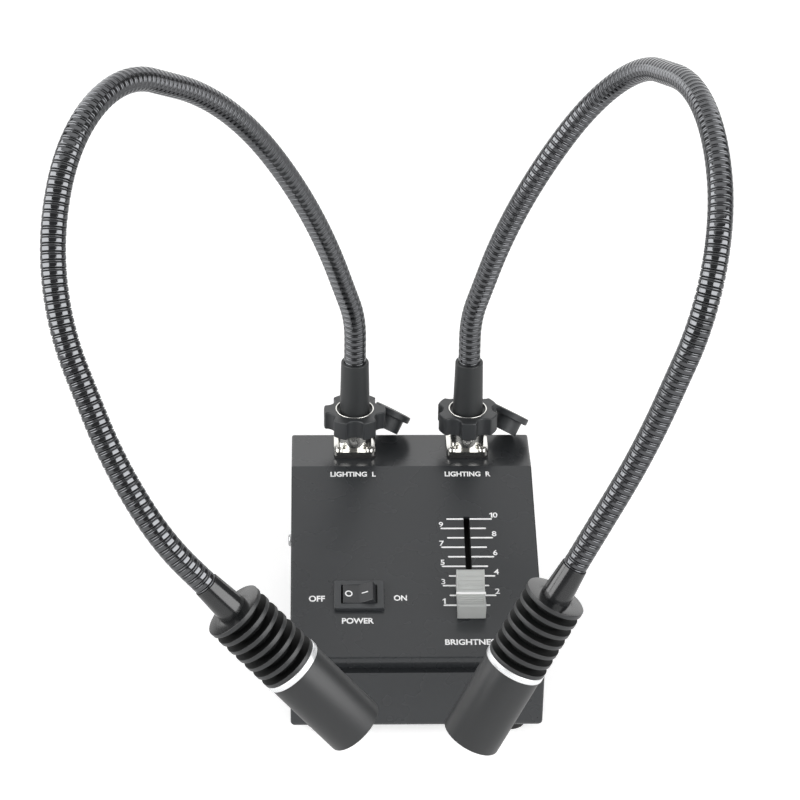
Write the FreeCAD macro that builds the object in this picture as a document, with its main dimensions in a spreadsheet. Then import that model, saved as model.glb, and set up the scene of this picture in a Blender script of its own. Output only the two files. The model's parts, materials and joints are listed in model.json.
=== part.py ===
import FreeCAD, Part
import math
import os
import re

# Twin-arm bench spot light: a sloped steel case with a rocker switch and a brightness fader, and
# two flexible ribbed arms that plug into sockets on its top and carry finned lamp heads.
# X runs to the right of someone facing the panel, Y to the back and Z up. The origin is the
# centre of the case's footprint, on the surface that the feet stand on. Lengths are millimetres.

os.makedirs("parts", exist_ok=True)
doc = FreeCAD.newDocument("TwinArmSpotLight")

SIZES = {
    # Case
    "case_width": 105, "case_depth": 130, "case_height": 64, "top_depth": 27,
    "front_edge_height": 35, "panel_setback": 1, "tray_height": 28, "sheet": 1.2,
    "tray_corner": 2.8, "edge_bend": 1, "seam": 0.4, "lip_height": 2.4, "groove_depth": 3.5,
    "upstand_clearance": 0.6, "side_play": 0.3,
    # Screwed tabs that hold the cover inside the tray
    "tab_length": 12, "tab_below_seam": 8, "tab_above_seam": 8, "tab_spacing": 80,
    # Feet
    "foot_height": 4, "foot_radius": 7, "foot_taper": 0.5, "foot_inset_side": 13,
    "foot_inset_end": 10, "foot_recess_radius": 3.2, "foot_recess_depth": 2.4,
    # Metric screws and their holes
    "screw_radius": 1.5, "screw_head_radius": 2.75, "screw_head_height": 1.7,
    "hole_play": 0.15, "nut_radius": 2.9, "nut_height": 2.3, "thread_play": 0.04,
    "small_screw_radius": 1.05, "small_head_radius": 1.7, "small_head_height": 1.1,
    # Mains inlet on the back
    "inlet_x": 20, "inlet_z": 18.4, "inlet_width": 27, "inlet_height": 19.8, "inlet_depth": 18,
    "inlet_flange_width": 50, "inlet_flange_height": 22.6, "inlet_flange": 2.5,
    "inlet_screw_spacing": 40, "inlet_mouth_width": 24.4, "inlet_mouth_height": 16.4,
    "inlet_mouth_depth": 15, "inlet_mouth_bevel": 4.4, "inlet_fit": 0.2, "pin_width": 2,
    "pin_height": 4, "pin_reach": 12, "pin_spacing": 14, "pin_drop": 4, "pin_tail": 7,
    # Power board on the floor of the tray
    "board": 1.6, "power_board_width": 80, "power_board_depth": 60, "power_board_y": -8,
    "standoff_radius": 2.6, "standoff_height": 8, "board_hole_inset": 4,
    "core_width": 24, "core_depth": 20, "core_height": 16, "core_x": 16, "winding_radius": 7.6,
    "winding_length": 12, "tall_can_radius": 5, "tall_can_height": 15, "small_can_radius": 3.2,
    "small_can_height": 11, "can_gap": 3, "cans_x": -24, "cans_y": 8, "sink_plate": 2,
    "sink_plate_width": 26, "sink_plate_height": 11, "sink_plate_x": -14, "sink_plate_y": -26,
    # Brightness fader; distances down the panel are measured from its top edge
    "fader_x": 22.8, "scale_top": 30.8, "scale_pitch": 5.3, "scale_steps": 9,
    "fader_setting": 1.45, "slot_width": 2.6, "blade_width": 1.2, "blade_length": 2.4,
    "blade_end_play": 0.2, "track_width": 9, "track_height": 7.5, "track_wall": 1.4,
    "track_end": 3, "carriage_length": 6, "carriage_play": 0.4, "blade_in_cap": 5.6,
    "cap_length": 20, "cap_width": 12.4, "cap_height": 8, "cap_lift": 0.6, "cap_draft": 0.3,
    "cap_dip": 3.4, "cap_land": 1.4, "cap_socket_play": 0.05,
    # Control board under the panel, on studs welded to the cover
    "control_width": 30, "control_length": 70, "control_top": 22, "control_x": 23,
    "stud_radius": 2.2, "stud_length": 10, "stud_tip_radius": 1.4, "stud_tip": 4,
    "stud_inset": 3.2,
    # Rocker switch
    "rocker_x": -23.8, "rocker_down": 73.9, "bezel_width": 21, "bezel_height": 15,
    "bezel_lift": 2, "rocker_hole_width": 19.2, "rocker_hole_height": 13, "housing_depth": 14,
    "rocker_fit": 0.1, "button_radius": 8.4, "button_half_height": 5.3, "button_play": 0.25,
    "pivot_lift": 0.5, "button_skirt": 4, "button_middle": 2.7, "button_ends": 3.5,
    "rocker_swing": 9, "blade_spacing": 10, "tag_width": 0.8, "tag_height": 4.8, "tag_length": 8,
    # Sockets on the top
    "socket_spacing": 49.6, "socket_inset": 11.4, "flange_size": 18.1, "flange": 1.8,
    "flange_corner": 1.6, "gasket": 1.2, "barrel_radius": 7.4, "barrel_height": 10,
    "socket_bore": 6, "socket_tail": 8, "tail_radius": 6.8, "tail_play": 0.3,
    "flange_hole_spacing": 13.2, "flange_screw_length": 7, "core_play": 0.15,
    "contact_radius": 0.8, "contact_circle": 3, "contact_count": 4, "core_top": 5,
    # Plug and hand nut
    "plug_radius": 5.75, "collar_radius": 7.3, "collar_height": 2, "plug_neck_radius": 4.4,
    "plug_neck": 7, "plug_bore": 1.6, "plug_gap": 0.3, "nut_bottom": 11.5, "nut_top": 20,
    "nut_lobe_radius": 13.5, "nut_valley": 10.6, "lobe_count": 6, "scallop_radius": 4,
    "lobe_round": 0.9, "nut_edge": 0.5, "ring_outer": 8.45, "ring_wall": 0.75,
    "ring_proud": 0.25, "ring_fit": 0.1, "web_height": 1.2, "web_bore": 6.95, "nut_pitch": 1,
    # Dust caps, each on a pin beside its socket
    "lid_radius": 8.4, "lid": 2.9, "lid_edge": 0.5, "boss_radius": 6.2, "boss_height": 6.2,
    "lid_x_left": 17.6, "lid_x_right": 20.4, "lid_y_left": 13.6, "lid_y_right": 11.9,
    "lid_z": 11.2, "lid_lean": 37.8, "lid_heading": 43,
    "lug_x": 6.2, "lug_y": 10.8, "lug_width": 4.4, "lug_end": 1.2, "lug_pin_radius": 1.1,
    "lug_pin_height": 4.4, "eye_radius": 2.2, "eye_height": 3.4, "eye_play": 0.1, "eye_lift": 0.3,
    # Tapered sleeve at the foot of each arm, heights above the top of the case
    "sleeve_top": 43.9, "sleeve_foot_radius": 6.7, "sleeve_top_radius": 6, "sleeve_rim": 0.5,
    "sleeve_socket_depth": 8, "hose_fit": 0.25,
    # Ribbed arms
    "rib_radius": 4.6, "rib_valley": 4.1, "rib_pitch": 2.95, "rib_rise": 0.3, "rib_crown": 1.95,
    "hose_bore": 2.6, "bore_step": 9, "hose_start": 12, "straight_end": 9, "foot_bend": 18,
    "long_bend": 72, "tip_bend": 42, "last_bend": 24,
    # Ball joints between the lengths of an arm
    "ball_radius": 3.4, "ball_gap": 0.3, "cup_radius": 4.45, "cup_sphere": 4.75,
    "cup_reach": 1.9, "cup_length": 5, "ball_neck_radius": 1.9, "ball_bore": 1.1,
    "dish_collar": 5.6, "collar_play": 0.15,
    # Lamp heads
    "neck_radius": 5.6, "neck_length": 15.5, "neck_round": 0.6, "neck_socket_depth": 9,
    "fin_radius": 11.5, "fin": 1.7, "fin_gap": 3, "fin_count": 7, "sink_core_radius": 7,
    "wire_bore": 2, "ring_radius": 11.7, "ring_length": 2.4, "spigot_radius": 8,
    "spigot_length": 8, "spigot_play": 0.1, "barrel_tube_radius": 11.3, "barrel_length": 34.1,
    "barrel_edge": 0.5, "lamp_board": 1.6, "lamp_chip": 1.7, "chip_height": 1,
    "lens_radius": 9.4, "lens_length": 12, "lens_seat": 8, "lens_from_mouth": 2,
    "lens_play": 0.1, "lens_cup_radius": 2.6, "lens_cup_depth": 2.4,
}

sheet = doc.addObject("Spreadsheet::Sheet", "Sizes")
for row, (name, value) in enumerate(SIZES.items(), start=1):
    sheet.set(f"A{row}", name)
    sheet.set(f"B{row}", str(value))
    sheet.setAlias(f"B{row}", name)
doc.recompute()

SIDES = {"left": -1, "right": 1}

# How each arm is bent: one pair for each bend, the angle it turns through and the heading it
# turns towards, in degrees. A heading of 0 is the right of a straight arm and 90 is its back.
ARM_BENDS = {
    "left": [(20.5, 217), (14, 213.5), (31, 252.5), (78, 240), (36, 280), (14, 280),
             (16, 252.5)],
    "right": [(17.5, -28.5), (18.5, 22), (68, -90), (49.5, -71), (57, -77.5), (7, 201), (1, 201)],
}

# Heights and places that several pieces share, as formulas of the sizes
TOP = "(foot_height + case_height)"
FLOOR = "(foot_height + sheet)"
SEAM_Z = "(foot_height + tray_height)"
FRONT_Y = "(-case_depth / 2)"
BACK_Y = "(case_depth / 2)"
INSIDE_X = "(case_width / 2 - sheet)"
RIDGE_Y = "(case_depth / 2 - top_depth)"
PANEL_RUN = "(case_depth - top_depth - panel_setback)"
PANEL_RISE = "(case_height - front_edge_height)"
SLOPE = f"atan({PANEL_RISE} / {PANEL_RUN})"
SOCKET_Y = "(case_depth / 2 - socket_inset)"
SCALE_LENGTH = "(scale_pitch * scale_steps)"
FADER_DOWN = "(scale_top + scale_pitch * (scale_steps + 1 - fader_setting))"
BARREL_TOP = "(gasket + flange + barrel_height)"
HEAD_TO_BARREL = "(fin * fin_count + fin_gap * (fin_count - 1) + ring_length)"

NAMES = re.compile(r"\b(" + "|".join(sorted(SIZES, key=len, reverse=True)) + r")\b")
made = []
pieces = {}


def formula(text):
    """Turn a formula of size names into one that reads the sheet."""
    return NAMES.sub(r"Sizes.\1", str(text))


def size(text):
    """Work out a formula of size names as a plain number."""
    value = sheet.evalExpression(formula(text))
    return float(getattr(value, "Value", value))


def bind(obj, **formulas):
    """Tie an object's sizes to formulas."""
    for name, text in formulas.items():
        obj.setExpression(name, formula(text))
    return obj


def place(obj, at, turn=None):
    """Tie an object's place to three formulas; turn is a fixed axis and a formula in degrees."""
    if turn:
        obj.Placement.Rotation = FreeCAD.Rotation(FreeCAD.Vector(*turn[0]), 1)
        obj.setExpression("Placement.Rotation.Angle", formula(turn[1]))
    for axis, text in zip("xyz", at):
        obj.setExpression(f"Placement.Base.{axis}", formula(text))
    return obj


def new(kind):
    """Add an object to the document."""
    obj = doc.addObject(kind, "Shape")
    made.append(obj)
    return obj


def box(length, width, height, at, turn=None):
    """A block from its low corner."""
    return place(bind(new("Part::Box"), Length=length, Width=width, Height=height), at, turn)


def rod(radius, height, at, turn=None):
    """A round bar from the middle of its foot."""
    return place(bind(new("Part::Cylinder"), Radius=radius, Height=height), at, turn)


def cone(foot, top, height, at, turn=None):
    """A tapered bar from the middle of its foot."""
    return place(bind(new("Part::Cone"), Radius1=foot, Radius2=top, Height=height), at, turn)


def fuse(*shapes):
    """One solid out of several."""
    obj = new("Part::MultiFuse")
    obj.Shapes = list(shapes)
    return obj


def cut(base, *tools):
    """A solid with others taken out of it."""
    obj = new("Part::Cut")
    obj.Base = base
    obj.Tool = tools[0] if len(tools) == 1 else fuse(*tools)
    return obj


def common(first, second):
    """What two solids share."""
    obj = new("Part::Common")
    obj.Base = first
    obj.Tool = second
    return obj


def group(*shapes):
    """Separate solids kept in one sub-part."""
    obj = new("Part::Compound")
    obj.Links = list(shapes)
    return obj


def rounded(base, radius, chosen):
    """Round the edges that a test of their two ends and middle picks out."""
    doc.recompute()
    obj = new("Part::Fillet")
    obj.Base = base
    edges = enumerate(base.Shape.Edges, start=1)
    obj.Edges = [(n, size(radius), size(radius)) for n, edge in edges if chosen(edge)]
    return obj


def piece(name, obj):
    """Name a finished sub-part."""
    obj.Label = name
    pieces[name] = obj
    return obj


def on_panel(x, down, up):
    """A point on the sloped panel: across, down from its top edge and out from its face."""
    return (x,
            f"{RIDGE_Y} - ({down}) * cos({SLOPE}) - ({up}) * sin({SLOPE})",
            f"{TOP} - ({down}) * sin({SLOPE}) + ({up}) * cos({SLOPE})")


TILT = ((1, 0, 0), SLOPE)


def panel_box(x, down, up, width, length, height):
    """A block on the panel, centred on x, reaching up the slope from down - length to down."""
    return box(width, length, height, on_panel(f"{x} - ({width}) / 2", down, up), TILT)


def panel_rod(x, down, up, radius, height):
    """A round bar that stands on the panel."""
    return rod(radius, height, on_panel(x, down, up), TILT)


def runs_along(edge, axis):
    """Whether a straight edge is parallel to an axis."""
    if len(edge.Vertexes) < 2 or not isinstance(edge.Curve, Part.Line):
        return False
    way = edge.Vertexes[1].Point - edge.Vertexes[0].Point
    return abs(way.normalize().dot(axis)) > 0.999


ALONG_X = FreeCAD.Vector(1, 0, 0)
ALONG_Y = FreeCAD.Vector(0, 1, 0)
ALONG_Z = FreeCAD.Vector(0, 0, 1)


def corners(spacing_x, spacing_y):
    """The four corners of a rectangle about the middle, as pairs of formulas."""
    return [(f"{a} * ({spacing_x}) / 2", f"{b} * ({spacing_y}) / 2")
            for a in (-1, 1) for b in (-1, 1)]


def build_tray():
    """Folded tray: floor, four walls and a stepped front edge that the cover's lip hangs over."""
    block = box("case_width", "case_depth", "tray_height",
                ("-case_width / 2", FRONT_Y, "foot_height"))
    outside = rounded(block, "edge_bend", lambda e: runs_along(e, ALONG_Z))
    outside = rounded(outside, "tray_corner", bends_up_the_side)
    hollow = box(f"2 * {INSIDE_X}", "case_depth - 2 * sheet", "tray_height",
                 (f"-{INSIDE_X}", f"{FRONT_Y} + sheet", FLOOR))
    inside = rounded(hollow, "tray_corner - sheet", bends_up_the_side)
    ledge = box(f"2 * {INSIDE_X}", "groove_depth", "sheet",
                (f"-{INSIDE_X}", f"{FRONT_Y} + sheet", f"{SEAM_Z} - sheet"))
    upstand_width = f"2 * ({INSIDE_X} - side_play)"
    upstand_height = "front_edge_height - tray_height + sheet - upstand_clearance"
    upstand = box(upstand_width, "sheet", upstand_height,
                  (f"-({upstand_width}) / 2", f"{FRONT_Y} + groove_depth", f"{SEAM_Z} - sheet"))
    inlet_hole = box("inlet_width + 2 * inlet_fit", "4 * sheet",
                     "inlet_height + 2 * inlet_fit",
                     ("inlet_x - inlet_width / 2 - inlet_fit", f"{BACK_Y} - 2 * sheet",
                      "inlet_z - inlet_height / 2 - inlet_fit"))
    holes = [rod("screw_radius + hole_play", "4 * sheet",
                 (f"inlet_x + {a} * inlet_screw_spacing / 2", f"{BACK_Y} + 2 * sheet", "inlet_z"),
                 ((1, 0, 0), "90")) for a in (-1, 1)]
    holes += [rod("screw_radius + hole_play", "4 * sheet", (x, y, "foot_height - sheet"))
              for x, y in foot_places()]
    holes += [rod("screw_radius + hole_play", "4 * sheet",
                  (f"{a} * case_width / 2 - 2 * sheet", y, z), ((0, 1, 0), "90"))
              for a, y, z in tab_places()]
    shell = fuse(cut(outside, inside), ledge, upstand)
    piece("base_tray", cut(shell, inlet_hole, *holes))


def bends_up_the_side(edge):
    """The two long edges where the floor turns up into the sides."""
    return edge.BoundBox.ZMax < size(FLOOR) + 0.01 and runs_along(edge, ALONG_Y)


def foot_places():
    """Where the four feet stand."""
    return corners("case_width - 2 * foot_inset_side", "case_depth - 2 * foot_inset_end")


def tab_places():
    """Where the cover's four tabs are screwed: side, y and z."""
    return [(a, f"{b} * tab_spacing / 2", f"{SEAM_Z} - tab_below_seam / 2")
            for a in (-1, 1) for b in (-1, 1)]


def stud_places():
    """Where the control board's studs stand on the panel: x and distance down."""
    return [(f"control_x + {a} * (control_width / 2 - stud_inset)",
             f"control_top + control_length / 2 + {b} * (control_length / 2 - stud_inset)")
            for a in (-1, 1) for b in (-1, 1)]


def sloped_block(inset, low):
    """The outline of the cover, drawn in by inset on every side but its open underside."""
    block = box(f"case_width - 2 * ({inset})", f"case_depth - panel_setback - 2 * ({inset})",
                f"{TOP} - ({inset}) - ({low})",
                (f"-case_width / 2 + ({inset})", f"{FRONT_Y} + panel_setback + ({inset})", low))
    above = panel_box("0", f"1.5 * {PANEL_RUN}", f"-({inset})", "2 * case_width",
                      f"3 * {PANEL_RUN}", "case_height")
    return cut(block, above)


def build_cover():
    """Folded cover: top, sloped panel, back, two sides and a short lip over the front groove."""
    low = f"({SEAM_Z} + seam)"
    outside = rounded(sloped_block("0", low), "edge_bend", cover_bend)
    hollow = sloped_block("sheet", f"({SEAM_Z} - case_height / 2)")
    lip_low = "(foot_height + front_edge_height - lip_height)"
    mouth = box(f"2 * {INSIDE_X}", "2 * sheet", f"{lip_low} - {low} + sheet",
                (f"-{INSIDE_X}", f"{FRONT_Y} + panel_setback - sheet / 2", f"{low} - sheet"))
    tabs = [box("sheet", "tab_length", "tab_below_seam + tab_above_seam",
                (f"{a} * ({INSIDE_X} - sheet / 2) - sheet / 2", f"{y} - tab_length / 2",
                 f"{SEAM_Z} - tab_below_seam")) for a, y, z in tab_places()]
    studs = [panel_rod(x, down, "-sheet - stud_length", "stud_radius",
                       "stud_length + sheet / 2") for x, down in stud_places()]
    studs += [panel_rod(x, down, "-sheet - stud_length - stud_tip", "stud_tip_radius",
                        "stud_tip + sheet") for x, down in stud_places()]
    slot = panel_box("fader_x", f"scale_top + {SCALE_LENGTH} + blade_length / 2 + blade_end_play",
                     "-2 * sheet", "slot_width",
                     f"{SCALE_LENGTH} + blade_length + 2 * blade_end_play", "4 * sheet")
    rocker_hole = panel_box("rocker_x", "rocker_down + rocker_hole_height / 2", "-2 * sheet",
                            "rocker_hole_width", "rocker_hole_height", "4 * sheet")
    holes = [rod("screw_radius + hole_play", "4 * sheet",
                 (f"{a} * ({INSIDE_X} - sheet / 2) - 2 * sheet", y, z), ((0, 1, 0), "90"))
             for a, y, z in tab_places()]
    for sign in SIDES.values():
        x = f"{sign} * socket_spacing / 2"
        holes.append(rod("tail_radius + tail_play", "4 * sheet", (x, SOCKET_Y, f"{TOP} - 2 * sheet")))
        holes += [rod("small_screw_radius + hole_play", "4 * sheet",
                      (f"{x} + {dx}", f"{SOCKET_Y} + {dy}", f"{TOP} - 2 * sheet"))
                  for dx, dy in corners("flange_hole_spacing", "flange_hole_spacing")]
    shell = fuse(cut(outside, hollow, mouth), *tabs, *studs)
    piece("top_cover", cut(shell, slot, rocker_hole, *holes))


def cover_bend(edge):
    """The cover's folded edges: all but those of its open underside and the top's front edge."""
    box_of = edge.BoundBox
    if box_of.ZMin < size(SEAM_Z) + size("seam") + 0.01 and not runs_along(edge, ALONG_Z):
        return False
    at_ridge = abs(box_of.YMax - size(RIDGE_Y)) < 0.01 and runs_along(edge, ALONG_X)
    return not at_ridge


def screw(x, y, z, length, small=False, turn=None, head_way=1):
    """A pan-head screw: its seat is at x, y, z and its head points along +Z before the turn."""
    kind = "small_" if small else "screw_"
    shank = "small_screw_radius" if small else "screw_radius"
    if turn is None:
        head = rod(f"{kind}head_radius", f"{kind}head_height",
                   (x, y, z if head_way > 0 else f"{z} - {kind}head_height"))
        body = rod(shank, length, (x, y, f"{z} - ({length})" if head_way > 0 else z))
        return fuse(head, body)
    axis, degrees, (wx, wy, wz) = turn
    head = rod(f"{kind}head_radius", f"{kind}head_height", (x, y, z), (axis, degrees))
    body = rod(shank, length,
               (f"{x} - {wx} * ({length})", f"{y} - {wy} * ({length})",
                f"{z} - {wz} * ({length})"), (axis, degrees))
    return fuse(head, body)


def ring_nut(x, y, z, bore, outer="nut_radius", height="nut_height", turn=None):
    """A round nut from the middle of its foot."""
    return cut(rod(outer, height, (x, y, z), turn), rod(bore, f"3 * ({height})", (x, y, z), turn))


def build_fasteners():
    """Screws that hold the cover, the feet, the inlet and the sockets."""
    cover = []
    for side, y, z in tab_places():
        seat = f"{side} * case_width / 2"
        turn = ((0, 1, 0), "90" if side > 0 else "-90", (side, 0, 0))
        cover.append(screw(seat, y, z, "4 * sheet", turn=turn))
    piece("cover_screws", group(*cover))
    feet = []
    for x, y in foot_places():
        feet.append(screw(x, y, "foot_recess_depth", "foot_height + sheet + nut_height",
                          head_way=-1))
        nut = cut(rod("nut_radius", "nut_height", (x, y, FLOOR)),
                  rod("screw_radius + thread_play", "2 * nut_height", (x, y, f"{FLOOR} - 1")))
        feet.append(nut)
    piece("foot_screws", group(*feet))
    inlet = [screw(f"inlet_x + {a} * inlet_screw_spacing / 2", f"{BACK_Y} + inlet_flange",
                   "inlet_z", "inlet_flange + 4 * sheet", turn=((1, 0, 0), "-90", (0, 1, 0)))
             for a in (-1, 1)]
    piece("inlet_screws", group(*inlet))
    flanges = []
    for sign in SIDES.values():
        for dx, dy in corners("flange_hole_spacing", "flange_hole_spacing"):
            flanges.append(screw(f"{sign} * socket_spacing / 2 + {dx}", f"{SOCKET_Y} + {dy}",
                                 f"{TOP} + gasket + flange", "flange_screw_length", small=True))
    piece("flange_screws", group(*flanges))


def build_feet():
    """Four rubber feet, each with a recess for its screw's head."""
    feet = []
    for x, y in foot_places():
        body = cone("foot_radius - foot_taper", "foot_radius", "foot_height", (x, y, "0"))
        recess = rod("foot_recess_radius", "foot_recess_depth + 1", (x, y, "-1"))
        hole = rod("screw_radius + hole_play", "2 * foot_height", (x, y, "0"))
        feet.append(cut(body, recess, hole))
    piece("feet", group(*feet))


def build_inlet():
    """Appliance inlet on the back: a flanged moulding with a deep mouth and three blades."""
    back = f"({BACK_Y} + inlet_flange)"
    flange = box("inlet_flange_width", "inlet_flange", "inlet_flange_height",
                 ("inlet_x - inlet_flange_width / 2", BACK_Y,
                  "inlet_z - inlet_flange_height / 2"))
    flange = rounded(flange, "inlet_flange", lambda e: runs_along(e, ALONG_Y))
    body = box("inlet_width", "inlet_depth", "inlet_height",
               ("inlet_x - inlet_width / 2", f"{BACK_Y} - inlet_depth",
                "inlet_z - inlet_height / 2"))
    mouth = box("inlet_mouth_width", "inlet_mouth_depth + 1", "inlet_mouth_height",
                ("inlet_x - inlet_mouth_width / 2", f"{back} - inlet_mouth_depth",
                 "inlet_z - inlet_mouth_height / 2"))
    doc.recompute()
    mouth_top = size("inlet_z + inlet_mouth_height / 2")
    bevel = new("Part::Chamfer")
    bevel.Base = mouth
    edges = enumerate(mouth.Shape.Edges, start=1)
    bevel.Edges = [(n, size("inlet_mouth_bevel"), size("inlet_mouth_bevel")) for n, e in edges
                   if runs_along(e, ALONG_Y) and e.BoundBox.ZMax > mouth_top - 0.01]
    screw_holes = [rod("screw_radius + hole_play", "4 * inlet_flange",
                       (f"inlet_x + {a} * inlet_screw_spacing / 2", f"{BACK_Y} + 2 * inlet_flange",
                        "inlet_z"), ((1, 0, 0), "90")) for a in (-1, 1)]
    blades, slots = [], []
    for dx, dz in (("-pin_spacing / 2", "0"), ("pin_spacing / 2", "0"), ("0", "-pin_drop")):
        low = f"inlet_z + pin_drop / 2 + {dz} - pin_height / 2"
        tail_y = f"{BACK_Y} - inlet_depth - pin_tail"
        length = f"inlet_depth + pin_tail + inlet_flange - inlet_mouth_depth + pin_reach"
        at = (f"inlet_x + {dx} - pin_width / 2", tail_y, low)
        blades.append(box("pin_width", length, "pin_height", at))
        slots.append(box("pin_width", length, "pin_height", at))
    piece("power_inlet", cut(fuse(flange, body), bevel, *screw_holes, *slots))
    piece("inlet_pins", group(*blades))


def build_power_board():
    """Supply board on four standoffs, with its transformer, capacitors and heat plate."""
    deck = f"({FLOOR} + standoff_height)"
    top = f"({deck} + board)"
    places = [(x, f"power_board_y + {y}") for x, y in
              corners("power_board_width - 2 * board_hole_inset",
                      "power_board_depth - 2 * board_hole_inset")]
    plate = box("power_board_width", "power_board_depth", "board",
                ("-power_board_width / 2", "power_board_y - power_board_depth / 2", deck))
    piece("power_board", cut(plate, *[rod("screw_radius + hole_play", "3 * board",
                                          (x, y, f"{deck} - board")) for x, y in places]))
    piece("board_standoffs", group(*[
        cut(rod("standoff_radius", "standoff_height", (x, y, FLOOR)),
            rod("screw_radius + thread_play", "standoff_height", (x, y, f"{FLOOR} + 1")))
        for x, y in places]))
    piece("board_screws", group(*[screw(x, y, top, "board + standoff_height / 2")
                                  for x, y in places]))
    core = box("core_width", "core_depth", "core_height",
               ("core_x - core_width / 2", "power_board_y - core_depth / 2", top))
    coil = rod("winding_radius", "winding_length",
               ("core_x - winding_length / 2", "power_board_y", f"{top} + core_height / 2"),
               ((0, 1, 0), "90"))
    window = box("winding_length", "2 * core_depth", "core_height / 2",
                 ("core_x - winding_length / 2", "power_board_y - core_depth",
                  f"{top} + core_height / 4"))
    piece("supply_transformer", fuse(cut(core, window), coil))
    small_y = "cans_y - tall_can_radius - small_can_radius - can_gap"
    piece("supply_capacitors", group(
        rod("tall_can_radius", "tall_can_height", ("cans_x", "cans_y", top)),
        rod("small_can_radius", "small_can_height", ("cans_x", small_y, top)),
        rod("small_can_radius", "small_can_height",
            ("cans_x + 2 * small_can_radius + can_gap", small_y, top))))
    piece("supply_heat_plate", box("sink_plate_width", "sink_plate", "sink_plate_height",
                                   ("sink_plate_x - sink_plate_width / 2", "sink_plate_y", top)))


def build_fader():
    """Slide control: its track on the control board, and the carriage and cap that move."""
    under = "(-sheet - stud_length)"
    track_length = (f"({SCALE_LENGTH} + carriage_length + 2 * carriage_play "
                    "+ 2 * track_end)")
    track_down = f"(scale_top + {SCALE_LENGTH} / 2 + {track_length} / 2)"
    board_down = "(control_top + control_length)"
    plate = panel_box("control_x", board_down, f"{under} - board", "control_width",
                      "control_length", "board")
    piece("control_board", cut(plate, *[
        panel_rod(x, down, f"{under} - 2 * board", "stud_tip_radius + hole_play", "4 * board")
        for x, down in stud_places()]))
    piece("stud_nuts", group(*[
        cut(panel_rod(x, down, f"{under} - board - nut_height", "nut_radius", "nut_height"),
            panel_rod(x, down, f"{under} - board - 2 * nut_height",
                      "stud_tip_radius + thread_play", "3 * nut_height"))
        for x, down in stud_places()]))
    case = panel_box("fader_x", track_down, under, "track_width", track_length, "track_height")
    inner_length = f"{track_length} - 2 * track_end"
    inner_down = f"{track_down} - track_end"
    channel = panel_box("fader_x", inner_down, f"{under} + track_wall",
                        "track_width - 2 * track_wall", inner_length,
                        "track_height - 2 * track_wall")
    opening = panel_box("fader_x", inner_down, f"{under} + track_wall",
                        "blade_width + 2 * carriage_play", inner_length, "track_height")
    piece("fader_track", cut(case, channel, opening))
    middle = f"({FADER_DOWN})"
    carriage = panel_box("fader_x", f"{middle} + carriage_length / 2",
                         f"{under} + track_wall + carriage_play",
                         "track_width - 2 * track_wall - 2 * carriage_play", "carriage_length",
                         "track_height - 2 * track_wall - 2 * carriage_play")
    blade_top = "(cap_lift + blade_in_cap - cap_dip / 2)"
    blade_foot = f"({under} + track_wall + 2 * carriage_play)"
    blade = panel_box("fader_x", f"{middle} + blade_length / 2", blade_foot, "blade_width",
                      "blade_length", f"{blade_top} - {blade_foot}")
    piece("fader_carriage", fuse(carriage, blade))
    body = panel_box("fader_x", f"{middle} + cap_length / 2", "cap_lift", "cap_width",
                     "cap_length", "cap_height")
    dip_chord = "(cap_length - 2 * cap_land)"
    dip_radius = f"({dip_chord} * {dip_chord} / (8 * cap_dip) + cap_dip / 2)"
    dip = rod(dip_radius, "2 * cap_width",
              on_panel("fader_x - cap_width", middle,
                       f"cap_lift + cap_height - cap_dip + {dip_radius}"),
              ((0, 1, 0), "90"))
    sides = []
    for sign in (-1, 1):
        sides.append(draft_wedge(sign, middle))
    pocket = panel_box("fader_x", f"{middle} + blade_length / 2 + cap_socket_play",
                       "cap_lift - 1", "blade_width + 2 * cap_socket_play",
                       "blade_length + 2 * cap_socket_play", f"{blade_top} - cap_lift + 1")
    piece("fader_cap", cut(body, dip, pocket, *sides))


def draft_wedge(sign, middle):
    """What the cap's leaning side leaves off: a thin block turned about the panel's slope."""
    wedge = new("Part::Wedge")
    bind(wedge, Xmin="0", Ymin="0", Zmin="0", X2min="0", Z2min="0", Xmax="0.01",
         Ymax="cap_height", Zmax="2 * cap_length", X2max="cap_draft", Z2max="2 * cap_length")
    stand = FreeCAD.Rotation(FreeCAD.Vector(sign, 0, 0), FreeCAD.Vector(0, 0, 1),
                             FreeCAD.Vector(0, -sign, 0), "XYZ")
    slope = FreeCAD.Rotation(ALONG_X, size(SLOPE))
    wedge.Placement.Rotation = slope * stand
    edge = f"fader_x - {sign} * cap_width / 2"
    return place(wedge, on_panel(edge, f"{middle} - {sign} * cap_length", "cap_lift"))


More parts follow.
